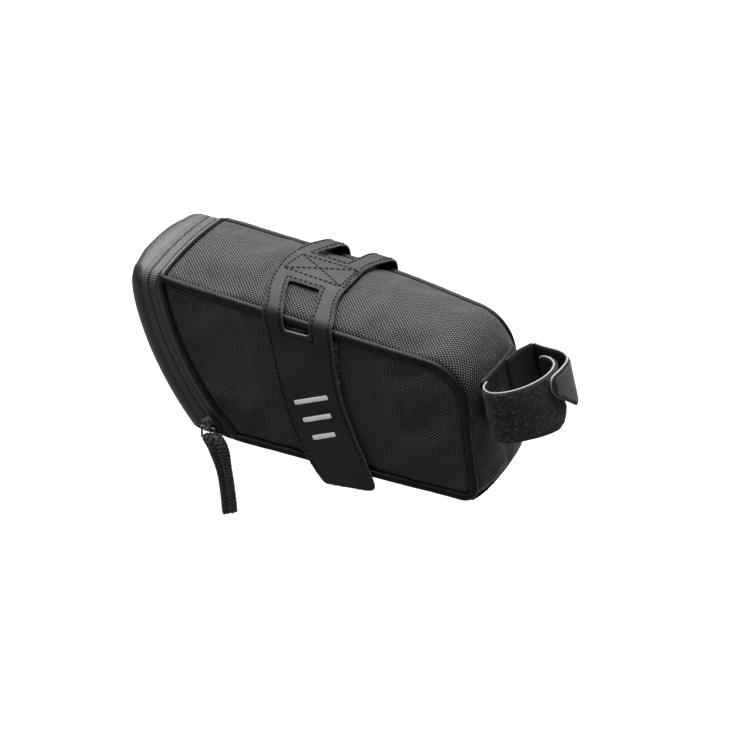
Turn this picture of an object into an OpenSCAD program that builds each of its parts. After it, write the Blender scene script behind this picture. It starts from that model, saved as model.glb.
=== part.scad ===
// Saddle bag: a wedge-shaped soft bag that hangs under a bicycle saddle.
// Frame: +X forward to the seatpost, +Y the rider's left, +Z up.
// The origin is the underside of the rail strap's sewn pad, on top of the bag.

/* [Bag body] */
// Width between the two piping lines
body_w = 64; // [60:1:68]
// Height from the base underside to the underside of the strap pad
body_h = 81; // [79:1:84]
// Front end of the base line, ahead of the origin
front_foot_x = 96; // [92:1:100]
// Corner where the top line and the front line meet, ahead of the origin
front_top_x = 86.5; // [84:0.5:88]
// Radius of the piping where the top turns down into the front
front_corner_r = 20; // [16:1:22]
// Radius of the piping where the front turns into the base
foot_corner_r = 6; // [5:0.5:9]
// Slope of the top line, falling to the front, in degrees
top_slope = 3.9; // [3.5:0.1:4.3]
// How far the piping lies below the strap pad at the origin
edge_drop = 6.2; // [6:0.1:6.6]
// How far the front panel bulges at its middle
front_bulge = 4; // [3:0.5:5]
// Thickness of the woven panels
panel_t = 1.6; // [1.2:0.1:1.8]
// Outer radius of the piping
piping_r = 2.1; // [2:0.05:2.15]

/* [Zip and flap] */
// Radius of the curved rear seam, seen from the side
seam_r = 132; // [130:1:134]
// Distance from the rear seam to the line of the zip
zip_offset = 7.6; // [7:0.1:8]
// Distance from the rear seam to the outer face of the rear panel
rear_offset = 18; // [17:0.5:20]
// Radius of the bag's long corners under the zip tape
band_corner_r = 7; // [6:0.5:8]

/* [Rail strap] */
// Width of the rail strap
strap_w = 34.5; // [32:0.5:36]
// Thickness of the coated strap
strap_t = 1.5; // [1.2:0.1:1.5]
// Width of the two windows in the rail strap
window_w = 16; // [14:1:18]

/* [Seatpost strap] */
// Width of the seatpost strap
post_strap_w = 25; // [22:1:27]
// Lean of the seatpost strap, its lower edge forward, in degrees
post_lean = 14; // [12:1:16]

/* [Zip pull] */
// Length of the braided pull below its ring
pull_l = 40; // [30:1:42]
// Width of the braided pull
pull_w = 8.5; // [7:0.5:9]

/* [Hidden] */
$fn = 64;

half_w = body_w / 2;
base_z = -body_h;
piping_low = base_z + 2.5;
rear_top_x = -66;
seam_lean = 8;
fit = 0.15;
clear = 0.35;
cut = 200;

// Side panel and what lies under and over it, as distances from the centre plane
panel_out = half_w + panel_t / 2;
panel_in = half_w - panel_t / 2;
board_t = 1.4;
skin = 0.02;
tape_out = panel_out + 0.4;
tape_t = 1.2;
coil_t = 1.4;
loop_t = 0.6;
hook_t = 0.65;
tail_in = half_w + piping_r + clear;
tail_out = tail_in + strap_t;

function unit(v) = v / norm(v);
function left_of(v) = [-v[1], v[0]];
function top_line(x) = -edge_drop - x * tan(top_slope);

rear_top = [rear_top_x, top_line(rear_top_x)];
front_top = [front_top_x, top_line(front_top_x)];
front_foot = [front_foot_x, piping_low];
seam_axis = rear_top + [seam_r * cos(seam_lean) - 1, seam_r * sin(seam_lean)];
zip_r = seam_r + zip_offset;
rear_r = seam_r + rear_offset;
tape_gap = 0.55;

// Point on a circle about the seam axis, at a height z, on the rear side
function seam_x(r, z) = seam_axis[0] - sqrt(r * r - pow(z - seam_axis[1], 2));
flap_hinge_x = seam_x(zip_r + tape_gap, base_z);

// Crossing of two lines, each given as [point, direction]
function meet(a, b) = let (n = left_of(b[1]))
    a[0] + a[1] * (((b[0] - a[0]) * n) / (a[1] * n));
function moved(a, d) = [a[0] + left_of(a[1]) * d, a[1]];

// The side outline's straight lines, anticlockwise: base, front, top, back
far_back = -95;
side_lines = [
    [[far_back, piping_low], [1, 0]],
    [front_foot, unit(front_top - front_foot)],
    [front_top, unit(rear_top - front_top)],
    [[far_back, 0], [0, -1]]];
// Corner i of the side outline, moved inward by d
function side_vertex(i, d) = meet(moved(side_lines[i], d), moved(side_lines[(i + 1) % 4], d));

// Rounded corner between p, v and n: [start, end, centre]
function corner(p, v, n, r) = let (a = unit(p - v), b = unit(n - v), half = acos(a * b) / 2)
    [v + a * r / tan(half), v + b * r / tan(half), v + unit(a + b) * r / sin(half)];
function angle_of(v) = atan2(v[1], v[0]);
// Points along a corner's arc
function arc_points(c, n = 12) = let (a0 = angle_of(c[0] - c[2]), turn = angle_of(c[1] - c[2]) - a0,
    sweep = turn < 0 ? turn + 360 : turn, r = norm(c[0] - c[2]))
    [for (i = [0 : n]) c[2] + r * [cos(a0 + sweep * i / n), sin(a0 + sweep * i / n)]];

// Side outline moved inward by d, open at the rear until a seam circle cuts it
function side_points(d) = let (v = [for (i = [0 : 3]) side_vertex(i, d)])
    concat([v[3]], arc_points(corner(v[3], v[0], v[1], foot_corner_r - d)),
        arc_points(corner(v[0], v[1], v[2], front_corner_r - d)), [v[2]]);

// Extrudes an X-Z outline between two values of y
module slab(y0, y1) {
    translate([0, y1, 0]) rotate([90, 0, 0]) linear_extrude(y1 - y0) children();
}

// The same slab on the right (side = -1) or the left (side = 1) of the bag
module side_slab(side, near, far) {
    slab(side < 0 ? -far : near, side < 0 ? -near : far) children();
}

// Disc about the seam axis, in X-Z
module seam_disc(r) {
    translate(seam_axis) circle(r = r, $fn = 128);
}

// Long ring about the seam axis, between two radii
module seam_ring(r0, r1) {
    slab(-cut / 2, cut / 2) difference() {
        seam_disc(r1);
        seam_disc(r0);
    }
}

// Stations along the bag, as [x, height of the crown above the piping line], ahead of the
// rear seam and behind it
pad_crown = edge_drop - 0.3;
stations = [[rear_top_x - 2, 1.6], [-14, pad_crown], [16, pad_crown], [105, 2.6]];
rear_stations = [[far_back, 1], [-18, 2.7]];
// Height of the top at distance y from the centre plane
function crown(st, half, y) = top_line(st[0]) + st[1] * (1 - pow(y / half, 2));
function section_points(st, half, round_r, drop, n = 10) = let (flat = half - round_r)
    concat([[half, base_z - 1], [-half, base_z - 1]],
        [for (i = [0 : n]) let (a = 90 * i / n)
            [-flat - round_r * cos(a), crown(st, half, flat) - drop - round_r * (1 - sin(a))]],
        [for (i = [1 - n : n - 1]) [flat * i / n, crown(st, half, flat * i / n) - drop]],
        [for (i = [0 : n]) let (a = 90 - 90 * i / n)
            [flat + round_r * cos(a), crown(st, half, flat) - drop - round_r * (1 - sin(a))]]);

module section(st, half, round_r, drop) {
    translate([st[0], 0, 0]) rotate([90, 0, 90])
        linear_extrude(0.01) polygon(section_points(st, half, round_r, drop));
}

// Solid with a crowned top through a list of stations, of half width half, lowered by drop
module crowned(list, half, round_r, drop) {
    for (i = [0 : len(list) - 2]) hull() {
        section(list[i], half, round_r, drop);
        section(list[i + 1], half, round_r, drop);
    }
}

// Outline of the bag on its centre plane, moved inward by d
module centre_outline(d) {
    lift = 9;
    v0 = [far_back, lift];
    v1 = front_top + [front_bulge + 0.5, front_bulge - 0.4];
    v2 = front_foot + [front_bulge + 0.9, -4];
    v3 = [far_back, v2[1]];
    round_r = front_corner_r + front_bulge;
    offset_lines = [[v3, [1, 0]], [v2, unit(v1 - v2)], [v1, unit(v0 - v1)]];
    w1 = meet(moved(offset_lines[1], d), moved(offset_lines[2], d));
    w2 = meet(offset_lines[0], moved(offset_lines[1], d));
    w0 = v0 - [0, d];
    polygon(concat([v3, w2], arc_points(corner(w2, w1, w0, round_r - d)), [w0]));
}

// Upright cylinder that gives the front panel its bulge, moved inward by d
bulge_r = (half_w * half_w + front_bulge * front_bulge) / (2 * front_bulge);
module bulged_front(d) {
    front_dir = unit(front_top - front_foot);
    foot = front_foot - left_of(front_dir) * (front_bulge - bulge_r);
    translate([foot[0], 0, foot[1]]) rotate([0, angle_of([front_dir[1], front_dir[0]]), 0])
        translate([0, 0, -30]) cylinder(r = bulge_r - d, h = 160, $fn = 256);
}

// Body of the bag ahead of the rear seam, moved inward by d
module bag_core(half, d) {
    intersection() {
        crowned(stations, half, 0.3, d);
        slab(-half, half) centre_outline(d);
        bulged_front(d);
    }
}

module panel_shape(d) {
    intersection() {
        polygon(side_points(d));
        seam_disc(seam_r - d / 3);
    }
}

module side_panel(side) {
    color("#232427") side_slab(side, panel_in, panel_out) panel_shape(piping_r + fit);
}

module side_board(side) {
    board_inset = 6;
    color("#3a3a3c") side_slab(side, panel_in - board_t - fit, panel_in - fit) panel_shape(board_inset);
}

// The panel that runs along the top and down the front, between the piping lines
module top_front_panel() {
    edge = half_w - piping_r - fit;
    color("#232427") difference() {
        bag_core(edge, 0);
        bag_core(edge + 5, panel_t);
        translate([-cut / 2, -cut / 2, base_z - 10]) cube([cut * 2, cut, 10 + panel_t + fit]);
        seam_ring(seam_r - 0.5, seam_r + cut);
    }
}

fold_gap = 0.25;
module base_panel() {
    edge = half_w - piping_r - fit;
    front = front_foot_x + front_bulge - 1.5;
    trim_l = 14;
    color("#1d1e20") difference() {
        translate([flap_hinge_x + fold_gap, -edge, base_z])
            cube([front - flap_hinge_x, 2 * edge, panel_t - fit]);
        difference() {
            translate([front - trim_l, -cut / 2, base_z - 1]) cube([2 * trim_l, cut, 2 * panel_t + 1]);
            bulged_front(0);
        }
    }
}

module base_board() {
    back_inset = 3;
    front_inset = 5;
    board_w = body_w - 10;
    color("#3a3a3c") translate([flap_hinge_x + back_inset, -board_w / 2, base_z + panel_t + fit])
        cube([front_foot_x - flap_hinge_x - back_inset - front_inset, board_w, board_t]);
}

// The piping's route in X-Z: along the base, up the front and back along the top
piping_foot = corner([far_back, piping_low], front_foot, front_top, foot_corner_r);
piping_top = corner(front_foot, front_top, rear_top, front_corner_r);
piping_end = [seam_x(seam_r - 1, piping_low), piping_low];
piping_path = concat([piping_end], arc_points(piping_foot, 6), arc_points(piping_top, 10), [rear_top]);

// Direction of a path at point i
function heading(p, i) = unit(p[min(i + 1, len(p) - 1)] - p[max(i - 1, 0)]);

// Ring of points about point i of a path in X-Z, at distance y from the centre plane
function ring(p, i, r, y, sides) = let (n = left_of(heading(p, i)))
    [for (k = [0 : sides - 1]) let (a = 360 * k / sides)
        [p[i][0] + n[0] * r * cos(a), y + r * sin(a), p[i][1] + n[1] * r * cos(a)]];
// Quadrilateral faces between successive rings, numbered from a first point
function wall(rings, sides, first, out) = [for (i = [0 : rings - 2]) for (k = [0 : sides - 1])
    let (a = first + i * sides + k, b = first + i * sides + (k + 1) % sides)
        out ? [a, b, b + sides, a + sides] : [a + sides, b + sides, b, a]];

// Solid cord swept along a path
module swept_cord(p, r, y, sides) {
    n = len(p);
    polyhedron([for (i = [0 : n - 1]) each ring(p, i, r, y, sides)],
        concat(wall(n, sides, 0, true), [[for (k = [sides - 1 : -1 : 0]) k],
            [for (k = [0 : sides - 1]) (n - 1) * sides + k]]), convexity = 6);
}

// Hollow sleeve swept along a path
module swept_sleeve(p, r_out, r_in, y, sides) {
    n = len(p);
    inner = n * sides;
    last = (n - 1) * sides;
    polyhedron(concat([for (i = [0 : n - 1]) each ring(p, i, r_out, y, sides)],
            [for (i = [0 : n - 1]) each ring(p, i, r_in, y, sides)]),
        concat(wall(n, sides, 0, true), wall(n, sides, inner, false),
            [for (k = [0 : sides - 1]) let (j = (k + 1) % sides) [j, k, inner + k, inner + j]],
            [for (k = [0 : sides - 1]) let (j = (k + 1) % sides)
                [last + k, last + j, inner + last + j, inner + last + k]]), convexity = 6);
}

core_r = 0.95;
module piping_sleeve(side) {
    color("#17181a") swept_sleeve(piping_path, piping_r, core_r + 0.15, side * half_w, 16);
}

module piping_core(side) {
    color("#e6e4dc") swept_cord(piping_path, core_r, side * half_w, 8);
}

// U-shaped band over both sides and the top, between two radii from the seam axis,
// lying depth below the tape's outer face and t thick
band_foot_z = base_z + panel_t + fit;
module band(r0, r1, depth, t) {
    half = tape_out - depth;
    round_r = band_corner_r - depth;
    intersection() {
        difference() {
            crowned(rear_stations, half, round_r, depth - 1);
            crowned(rear_stations, half - t, round_r - t, depth + t - 1);
        }
        seam_ring(r0, r1);
        translate([-cut, -cut / 2, band_foot_z]) cube([cut, cut, cut]);
    }
}

module body_zip_tape() {
    color("#1a1b1d") band(seam_r + 0.2, zip_r - tape_gap, 0, tape_t);
}

module flap_zip_tape() {
    color("#1a1b1d") band(zip_r + tape_gap, rear_r - panel_t - fit, 0, tape_t);
}

coil_w = 1.6;
module body_zip_coil() {
    color("#0f1011") band(zip_r - tape_gap - coil_w, zip_r - tape_gap, tape_t + skin, coil_t);
}

module flap_zip_coil() {
    color("#0f1011") band(zip_r + tape_gap, zip_r + tape_gap + coil_w, tape_t + skin, coil_t);
}

// Places a child drawn at [radius, 0] on the zip line at an angle above the rear horizontal
module on_zip(drop_angle) {
    translate([seam_axis[0], 0, seam_axis[1]]) rotate([0, 180 - drop_angle, 0]) children();
}

module zip_end_stops() {
    stop_angle = 43;
    stop = [1.6, 0.6, 2];
    color("#6c6e72") for (side = [-1, 1]) on_zip(stop_angle)
        translate([zip_r - 2, side > 0 ? tape_out + skin : -tape_out - skin - stop[1], -stop[2] / 2])
            cube(stop);
}

// Rear wall of the flap, bounded by the band's outer face
module rear_panel() {
    color("#232427") intersection() {
        crowned(rear_stations, tape_out, band_corner_r, -1);
        seam_ring(rear_r - panel_t, rear_r);
        translate([-cut, -cut / 2, band_foot_z]) cube([cut, cut, cut]);
    }
}

module rear_board() {
    board_inset = 4;
    color("#3a3a3c") intersection() {
        crowned(rear_stations, half_w - board_inset, board_inset, board_inset + 1);
        seam_ring(rear_r - panel_t - board_t, rear_r - panel_t - fit);
        translate([-cut, -cut / 2, band_foot_z + board_inset / 2]) cube([cut, cut, cut]);
    }
}

// The last stretch of the base, behind the fold where the flap turns
module flap_base_strip() {
    back = seam_x(rear_r, base_z + panel_t);
    strip_w = body_w - 4;
    color("#1d1e20") translate([back, -strip_w / 2, base_z])
        cube([flap_hinge_x - fold_gap - back, strip_w, panel_t - fit]);
}

// Webbing loop for a clip-on light: bar tacks at its two ends, open in the middle
module rear_light_loop() {
    loop_w = 20;
    top_angle = 16;
    bottom_angle = 27;
    gap = 6;
    web_t = 1.3;
    color("#17181a") union() {
        intersection() {
            slab(-loop_w / 2, loop_w / 2) difference() {
                seam_disc(rear_r + fit + gap + web_t);
                seam_disc(rear_r + fit + gap);
            }
            slab(-loop_w, loop_w) polygon(sector(top_angle, bottom_angle));
        }
        for (a = [top_angle, bottom_angle - 1]) intersection() {
            slab(-loop_w / 2, loop_w / 2) difference() {
                seam_disc(rear_r + fit + gap + web_t);
                seam_disc(rear_r + fit);
            }
            slab(-loop_w, loop_w) polygon(sector(a, a + 1));
        }
    }
}
// Wedge about the seam axis between two angles below the rear horizontal
function sector(a0, a1) = [seam_axis, seam_axis - cut * [cos(a0), sin(a0)],
    seam_axis - cut * [cos(a1), sin(a1)]];

// Flat pocket on the inner face of the left side board, open along its bound upper edge
pocket_x = -42;
pocket_z = base_z + 8;
pocket_w = 84;
pocket_h = 34;
module mesh_pocket() {
    mesh_t = 0.6;
    color("#2c2d30") translate([pocket_x, panel_in - board_t - 2 * mesh_t, pocket_z])
        cube([pocket_w, mesh_t, pocket_h]);
}

module mesh_pocket_binding() {
    binding_t = 1.6;
    binding_h = 4;
    color("#17181a") translate([pocket_x, panel_in - board_t - 0.4 - binding_t, pocket_z + pocket_h + 0.1])
        cube([pocket_w, binding_t, binding_h]);
}

// Zip slider, parked at the foot of the right-hand leg of the zip
park_angle = 40.5;
slider_l = 8;
ring_y = -tape_out - 3.4;
park = [seam_axis[0] - zip_r * cos(park_angle), seam_axis[1] - zip_r * sin(park_angle)];
ring_z = park[1] - 0.8;
wire_r = 0.6;
module zip_slider() {
    plate_w = 6;
    plate_t = 1.1;
    post_w = 0.4;
    bridge = [2.8, 3];
    plate_y = -tape_out - 0.75;
    inner_y = -tape_out + tape_t + coil_t + 0.4;
    color("#55575b") difference() {
        union() {
            on_zip(park_angle) {
                translate([zip_r - plate_w / 2, plate_y - plate_t, -slider_l / 2])
                    cube([plate_w, plate_t, slider_l]);
                translate([zip_r - post_w / 2, plate_y - 0.2, -slider_l / 4])
                    cube([post_w, inner_y - plate_y + 0.4, slider_l / 2]);
                translate([zip_r - plate_w / 2 + 0.5, inner_y, -slider_l / 2 + 1])
                    cube([plate_w - 1, 1, slider_l - 2]);
            }
            translate([park[0] - bridge[0] / 2, ring_y - bridge[1] / 2, ring_z - bridge[1] / 2])
                cube([bridge[0], plate_y - ring_y + 1, bridge[1]]);
        }
        translate([park[0] - bridge[0], ring_y, ring_z]) rotate([0, 90, 0])
            cylinder(r = wire_r + clear, h = 2 * bridge[0], $fn = 24);
    }
}

// Wire bail: a bar through the slider's bridge, two legs and a lower bar
ring_w = 7;
ring_drop = 6;
module zip_pull_ring() {
    color("#7b7e83") translate([park[0], ring_y, ring_z]) union() {
        for (z = [0, -ring_drop]) translate([-ring_w / 2, 0, z]) rotate([0, 90, 0])
            cylinder(r = wire_r, h = ring_w, $fn = 24);
        for (x = [-ring_w / 2, ring_w / 2]) translate([x, 0, -ring_drop]) {
            cylinder(r = wire_r, h = ring_drop, $fn = 24);
            sphere(r = wire_r, $fn = 24);
            translate([0, 0, ring_drop]) sphere(r = wire_r, $fn = 24);
        }
    }
}

// Braided pull: a narrow neck under the ring, then a flat doubled length
module zip_pull_cord() {
    neck = 6;
    neck_r = 1.2;
    pull_t = 2.6;
    color("#121314") translate([park[0], ring_y, ring_z - ring_drop]) union() {
        translate([0, 0, -2 - neck]) cylinder(r = neck_r, h = neck + 0.1, $fn = 24);
        translate([-pull_w / 2, -pull_t / 2, -pull_l]) cube([pull_w, pull_t, pull_l - 1 - neck]);
    }
}

// Arched layer of the rail strap, along the sloping top, between two radii about its own axis
pad_half = 9.8;
pad_arch_r = 86;
wing_arch_r = 150;
module arch(radius, t) {
    rotate([0, top_slope, 0]) translate([0, 0, -radius]) rotate([0, 90, 0]) difference() {
        cylinder(r = radius + t, h = 120, center = true, $fn = 128);
        cylinder(r = radius, h = 121, center = true, $fn = 128);
    }
}

// Plan of the strap's chevron between two distances from the centre plane
strap_mid_x = -1.8;
strap_side_x = 8;
sweep_y = 31;
function strap_x(y) = strap_mid_x + (strap_side_x - strap_mid_x) * min(y / sweep_y, 1);
module strap_plan(side, y0, y1) {
    translate([0, 0, -20]) linear_extrude(40) polygon([
        [strap_x(y0) - strap_w / 2, side * y0], [strap_x(y1) - strap_w / 2, side * y1],
        [strap_x(y1) + strap_w / 2, side * y1], [strap_x(y0) + strap_w / 2, side * y0]]);
}

module rail_strap_pad() {
    color("#26272a") intersection() {
        translate([0, 0, 0.1]) arch(pad_arch_r, strap_t);
        union() for (side = [-1, 1]) strap_plan(side, 0, pad_half);
    }
}

// Opening through the upper part of a wing, over the shoulder of the bag
window_x = 6 - window_w / 2;
window_in = 14.5;
window_low = -11.5;
module window_cut(side) {
    translate([window_x, side < 0 ? -tail_out - 5 : window_in, window_low])
        cube([window_w, tail_out + 5 - window_in, 40]);
}

wing_in = pad_half + clear;
wing_end = 29;
module wing_upper(side) {
    color("#26272a") difference() {
        intersection() {
            translate([0, 0, 0.3]) arch(wing_arch_r, strap_t);
            strap_plan(side, wing_in, wing_end);
        }
        window_cut(side);
    }
}

// Side part of a wing: it bends over the shoulder, then curves forward to its cut end
tail_bend_r = 5;
tail_top_z = -2.5;
tail_curve_r = 140;
tail_curve_z = -9;
tail_end = [[20, -90], [46, -85.5]];
module tail_shape() {
    curve_c = [strap_side_x + tail_curve_r, tail_curve_z];
    end_dir = unit(tail_end[1] - tail_end[0]);
    far = 80;
    intersection() {
        difference() {
            translate(curve_c) circle(r = tail_curve_r + strap_w / 2, $fn = 128);
            translate(curve_c) circle(r = tail_curve_r - strap_w / 2, $fn = 128);
        }
        polygon([tail_end[0] - far * end_dir, tail_end[1] + far * end_dir,
            [tail_end[1][0] + far, tail_curve_z], [-far, tail_curve_z]]);
    }
}

// Flat upper edge of the side part, parallel to the sloping top
tail_bend_z = tail_top_z + strap_t - tail_bend_r;
module tail_upper_edge() {
    x0 = strap_side_x - strap_w / 2;
    x1 = x0 + strap_w;
    polygon([[x0, tail_curve_z - 0.1], [x1, tail_curve_z - 0.1],
        [x1, tail_bend_z - x1 * tan(top_slope)], [x0, tail_bend_z - x0 * tan(top_slope)]]);
}

module wing_tail(side) {
    bend_y = tail_out - tail_bend_r;
    flat_y = wing_end + clear;
    x0 = strap_side_x - strap_w / 2;
    color("#26272a") difference() {
        union() {
            side_slab(side, tail_in, tail_out) tail_shape();
            side_slab(side, tail_in, tail_out) tail_upper_edge();
            rotate([0, top_slope, 0]) {
                translate([x0, side * bend_y, tail_bend_z]) rotate([0, 90, 0])
                    rotate([0, 0, side < 0 ? -180 : 90]) rotate_extrude(angle = 90)
                        translate([tail_bend_r - strap_t, 0]) square([strap_t, strap_w]);
                translate([x0, side < 0 ? -bend_y - 0.05 : flat_y, tail_top_z])
                    cube([strap_w, bend_y + 0.05 - flat_y, strap_t]);
            }
        }
        window_cut(side);
    }
}

// Hook layer on the inner face of a tail, and the loop layer it grips on the side panel
module wing_hook(side) {
    hook_corner = [4, -72];
    hook_size = [30, 36];
    color("#0d0d0e") side_slab(side, tail_in - hook_t, tail_in) intersection() {
        tail_shape();
        translate(hook_corner) square(hook_size);
    }
}

module side_loop(side) {
    loop_corner = [-2, -74];
    loop_size = [44, 70];
    color("#141416") side_slab(side, panel_out + skin, panel_out + loop_t) intersection() {
        translate(loop_corner) square(loop_size);
        panel_shape(piping_r + clear);
    }
}

// Three slanted bars of reflective film low on the outer face of a tail
module reflective_bars(side) {
    bar_l = 22;
    bar_w = 3;
    film_t = 0.2;
    first_bar = [12, -50];
    bar_step = [2.6, -9];
    slant = 24;
    color("#b9bcc0") for (i = [0 : 2])
        side_slab(side, tail_out + skin, tail_out + skin + film_t) translate(first_bar + i * bar_step)
            rotate(slant) square([bar_l - bar_w * i, bar_w]);
}

// Seatpost strap: drawn flat in plan from its anchor, then leaned
anchor_x = front_foot_x - 2;
anchor_z = base_z + 46;
module leaned() {
    translate([anchor_x, 0, anchor_z]) rotate([0, -post_lean, 0])
        translate([0, 0, -post_strap_w / 2]) linear_extrude(post_strap_w) children();
}

// Rounds a list of points by cutting its corners, keeping both ends
function smooth(p, passes) = passes == 0 ? p : smooth(concat([p[0]],
    [for (i = [0 : len(p) - 2]) each [0.75 * p[i] + 0.25 * p[i + 1], 0.25 * p[i] + 0.75 * p[i + 1]]],
    [p[len(p) - 1]]), passes - 1);
// Band between two distances to the left of a path
function ribbon(p, d0, d1) = concat(
    [for (i = [0 : len(p) - 1]) p[i] + left_of(heading(p, i)) * d0],
    [for (i = [len(p) - 1 : -1 : 0]) p[i] + left_of(heading(p, i)) * d1]);

web_half = 0.8;
anchor_half = 18.5;
loop_path = smooth([[3.4, -18], [5, -22.5], [11, -23.5], [20, -15], [26.3, -1], [26, 9], [21, 13.5], [16, 12]], 2);
tongue_path = smooth([[3.2, 4], [4.5, 13], [8.6, 21.6]], 2);
hook_path = smooth([[9.4, 22.6], [15, 20.5], [25, 19.5], [30.4, 14], [30.5, 3], [29.3, -7]], 2);

module seatpost_anchor() {
    anchor_front = 2.3;
    anchor_depth = 10.3;
    color("#26272a") difference() {
        leaned() translate([anchor_front - anchor_depth, -anchor_half])
            square([anchor_depth, 2 * anchor_half]);
        bulged_front(-0.1);
    }
}

module seatpost_tongue() {
    color("#26272a") leaned() polygon(ribbon(tongue_path, -web_half, web_half));
}

module seatpost_loop_arm() {
    color("#26272a") leaned() polygon(ribbon(loop_path, -web_half, web_half));
}

module seatpost_loop_pile() {
    pile = [for (i = [5 : len(loop_path) - 6]) loop_path[i]];
    color("#141416") leaned() polygon(ribbon(pile, -web_half - loop_t, -web_half - skin));
}

module seatpost_hook_arm() {
    color("#26272a") leaned() polygon(ribbon(hook_path, -web_half, web_half));
}

module seatpost_hook_patch() {
    grip = [for (i = [8 : len(hook_path) - 2]) hook_path[i]];
    color("#0d0d0e") leaned() polygon(ribbon(grip, -web_half - hook_t, -web_half - skin));
}

side_panel(-1);  // right_side_panel
side_panel(1);  // left_side_panel
side_board(-1);  // right_side_board
side_board(1);  // left_side_board
top_front_panel();
base_panel();
base_board();
piping_sleeve(-1);  // right_piping_sleeve
piping_sleeve(1);  // left_piping_sleeve
piping_core(-1);  // right_piping_core
piping_core(1);  // left_piping_core
body_zip_tape();
body_zip_coil();
zip_end_stops();
flap_zip_tape();
flap_zip_coil();
rear_panel();
rear_board();
flap_base_strip();
rear_light_loop();
mesh_pocket();
mesh_pocket_binding();
zip_slider();
zip_pull_ring();
zip_pull_cord();
rail_strap_pad();
wing_upper(-1);  // right_wing_upper
wing_upper(1);  // left_wing_upper
wing_tail(-1);  // right_wing_tail
wing_tail(1);  // left_wing_tail
wing_hook(-1);  // right_wing_hook
wing_hook(1);  // left_wing_hook
side_loop(-1);  // right_side_loop
side_loop(1);  // left_side_loop
reflective_bars(-1);  // right_reflective_bars
reflective_bars(1);  // left_reflective_bars
seatpost_anchor();
seatpost_tongue();
seatpost_loop_arm();
seatpost_loop_pile();
seatpost_hook_arm();
seatpost_hook_patch();
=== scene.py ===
"""Saddle bag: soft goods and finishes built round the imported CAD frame.

Lengths are millimetres in the part's own frame, turned into metres when a mesh is made.
"""
import math

import bpy
import numpy as np
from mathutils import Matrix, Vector, geometry, noise


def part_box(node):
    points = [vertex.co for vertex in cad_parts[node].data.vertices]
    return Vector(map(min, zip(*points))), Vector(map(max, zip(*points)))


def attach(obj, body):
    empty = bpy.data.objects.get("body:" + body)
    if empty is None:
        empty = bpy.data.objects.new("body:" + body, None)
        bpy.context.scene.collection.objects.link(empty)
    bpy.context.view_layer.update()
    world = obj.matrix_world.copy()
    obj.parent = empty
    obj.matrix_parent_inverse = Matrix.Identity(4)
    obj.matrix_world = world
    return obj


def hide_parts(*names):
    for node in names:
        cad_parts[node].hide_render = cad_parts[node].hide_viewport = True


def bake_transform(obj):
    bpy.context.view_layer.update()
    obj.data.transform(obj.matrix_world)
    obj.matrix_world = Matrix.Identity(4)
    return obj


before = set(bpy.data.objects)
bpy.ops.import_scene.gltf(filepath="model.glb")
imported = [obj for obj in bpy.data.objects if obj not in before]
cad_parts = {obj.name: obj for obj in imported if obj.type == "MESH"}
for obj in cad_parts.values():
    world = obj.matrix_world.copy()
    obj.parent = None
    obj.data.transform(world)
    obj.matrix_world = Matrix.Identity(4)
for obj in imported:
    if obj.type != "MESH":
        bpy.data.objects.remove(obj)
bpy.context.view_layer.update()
MM = 0.001
rad = math.radians
scene = bpy.context.scene

# ---------------------------------------------------------------- sizes that repeat part.scad
HALF = 32.0
BASE_Z = -81.0
PIPE_LOW = BASE_Z + 1.8
SLOPE = math.tan(rad(3.9))
EDGE = 6.2
TOP_BACK, TOP_FRONT = -66.0, 86.5
SEAM_R, REAR_R = 132.0, 150.0
TAPE_OUT = 33.2
BAND_R = 7.0
BAND_FLAT = TAPE_OUT - BAND_R
BAND_FOOT = BASE_Z + 1.75
FAR_BACK = -95.0
SIDES = {-1: "right", 1: "left"}


def top_line(x):
    return -EDGE - x * SLOPE


SEAM_X = TOP_BACK + SEAM_R * math.cos(rad(8)) - 1
SEAM_Z = top_line(TOP_BACK) + SEAM_R * math.sin(rad(8))


def seam_x(r, z):
    return SEAM_X - np.sqrt(r * r - (z - SEAM_Z) ** 2)


# ---------------------------------------------------------------- materials
def nodes_of(name, **values):
    """A new material, its node tree and its shader, with values set on the shader's sockets."""
    m = bpy.data.materials.new(name)
    m.use_nodes = True
    t = m.node_tree
    t.nodes.clear()
    out = t.nodes.new("ShaderNodeOutputMaterial")
    p = node(t, "ShaderNodeBsdfPrincipled", **values)
    t.links.new(p.outputs[0], out.inputs[0])
    return m, t, p


def node(t, kind, **values):
    n = t.nodes.new(kind)
    for k, v in values.items():
        n.inputs[k.replace("_", " ")].default_value = v
    return n


def math_node(t, op, a, b=0.0):
    n = t.nodes.new("ShaderNodeMath")
    n.operation = op
    for i, v in enumerate((a, b)):
        if isinstance(v, (int, float)):
            n.inputs[i].default_value = v
        else:
            t.links.new(v, n.inputs[i])
    return n.outputs[0]


def mul(t, a, b):
    return math_node(t, "MULTIPLY", a, b)


def add(t, a, b):
    return math_node(t, "ADD", a, b)


def ramp(t, fac, stops):
    n = t.nodes.new("ShaderNodeValToRGB")
    e = n.color_ramp.elements
    for i, (at, col) in enumerate(stops):
        if i >= len(e):
            e.new(at)
        e[i].position = at
        e[i].color = (*col, 1)
    t.links.new(fac, n.inputs[0])
    return n.outputs[0]


def grey(v, tint=(1.0, 1.0, 1.0)):
    return tuple(v * k for k in tint)


def uv_split(t):
    uv = t.nodes.new("ShaderNodeUVMap")
    uv.uv_map = "UVMap"
    s = t.nodes.new("ShaderNodeSeparateXYZ")
    t.links.new(uv.outputs[0], s.inputs[0])
    return s.outputs[0], s.outputs[1]


def object_noise(t, scale, detail=3.0, rough=0.55):
    c = t.nodes.new("ShaderNodeTexCoord")
    n = node(t, "ShaderNodeTexNoise", Scale=scale, Detail=detail, Roughness=rough)
    t.links.new(c.outputs["Object"], n.inputs["Vector"])
    return n.outputs[0]


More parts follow.
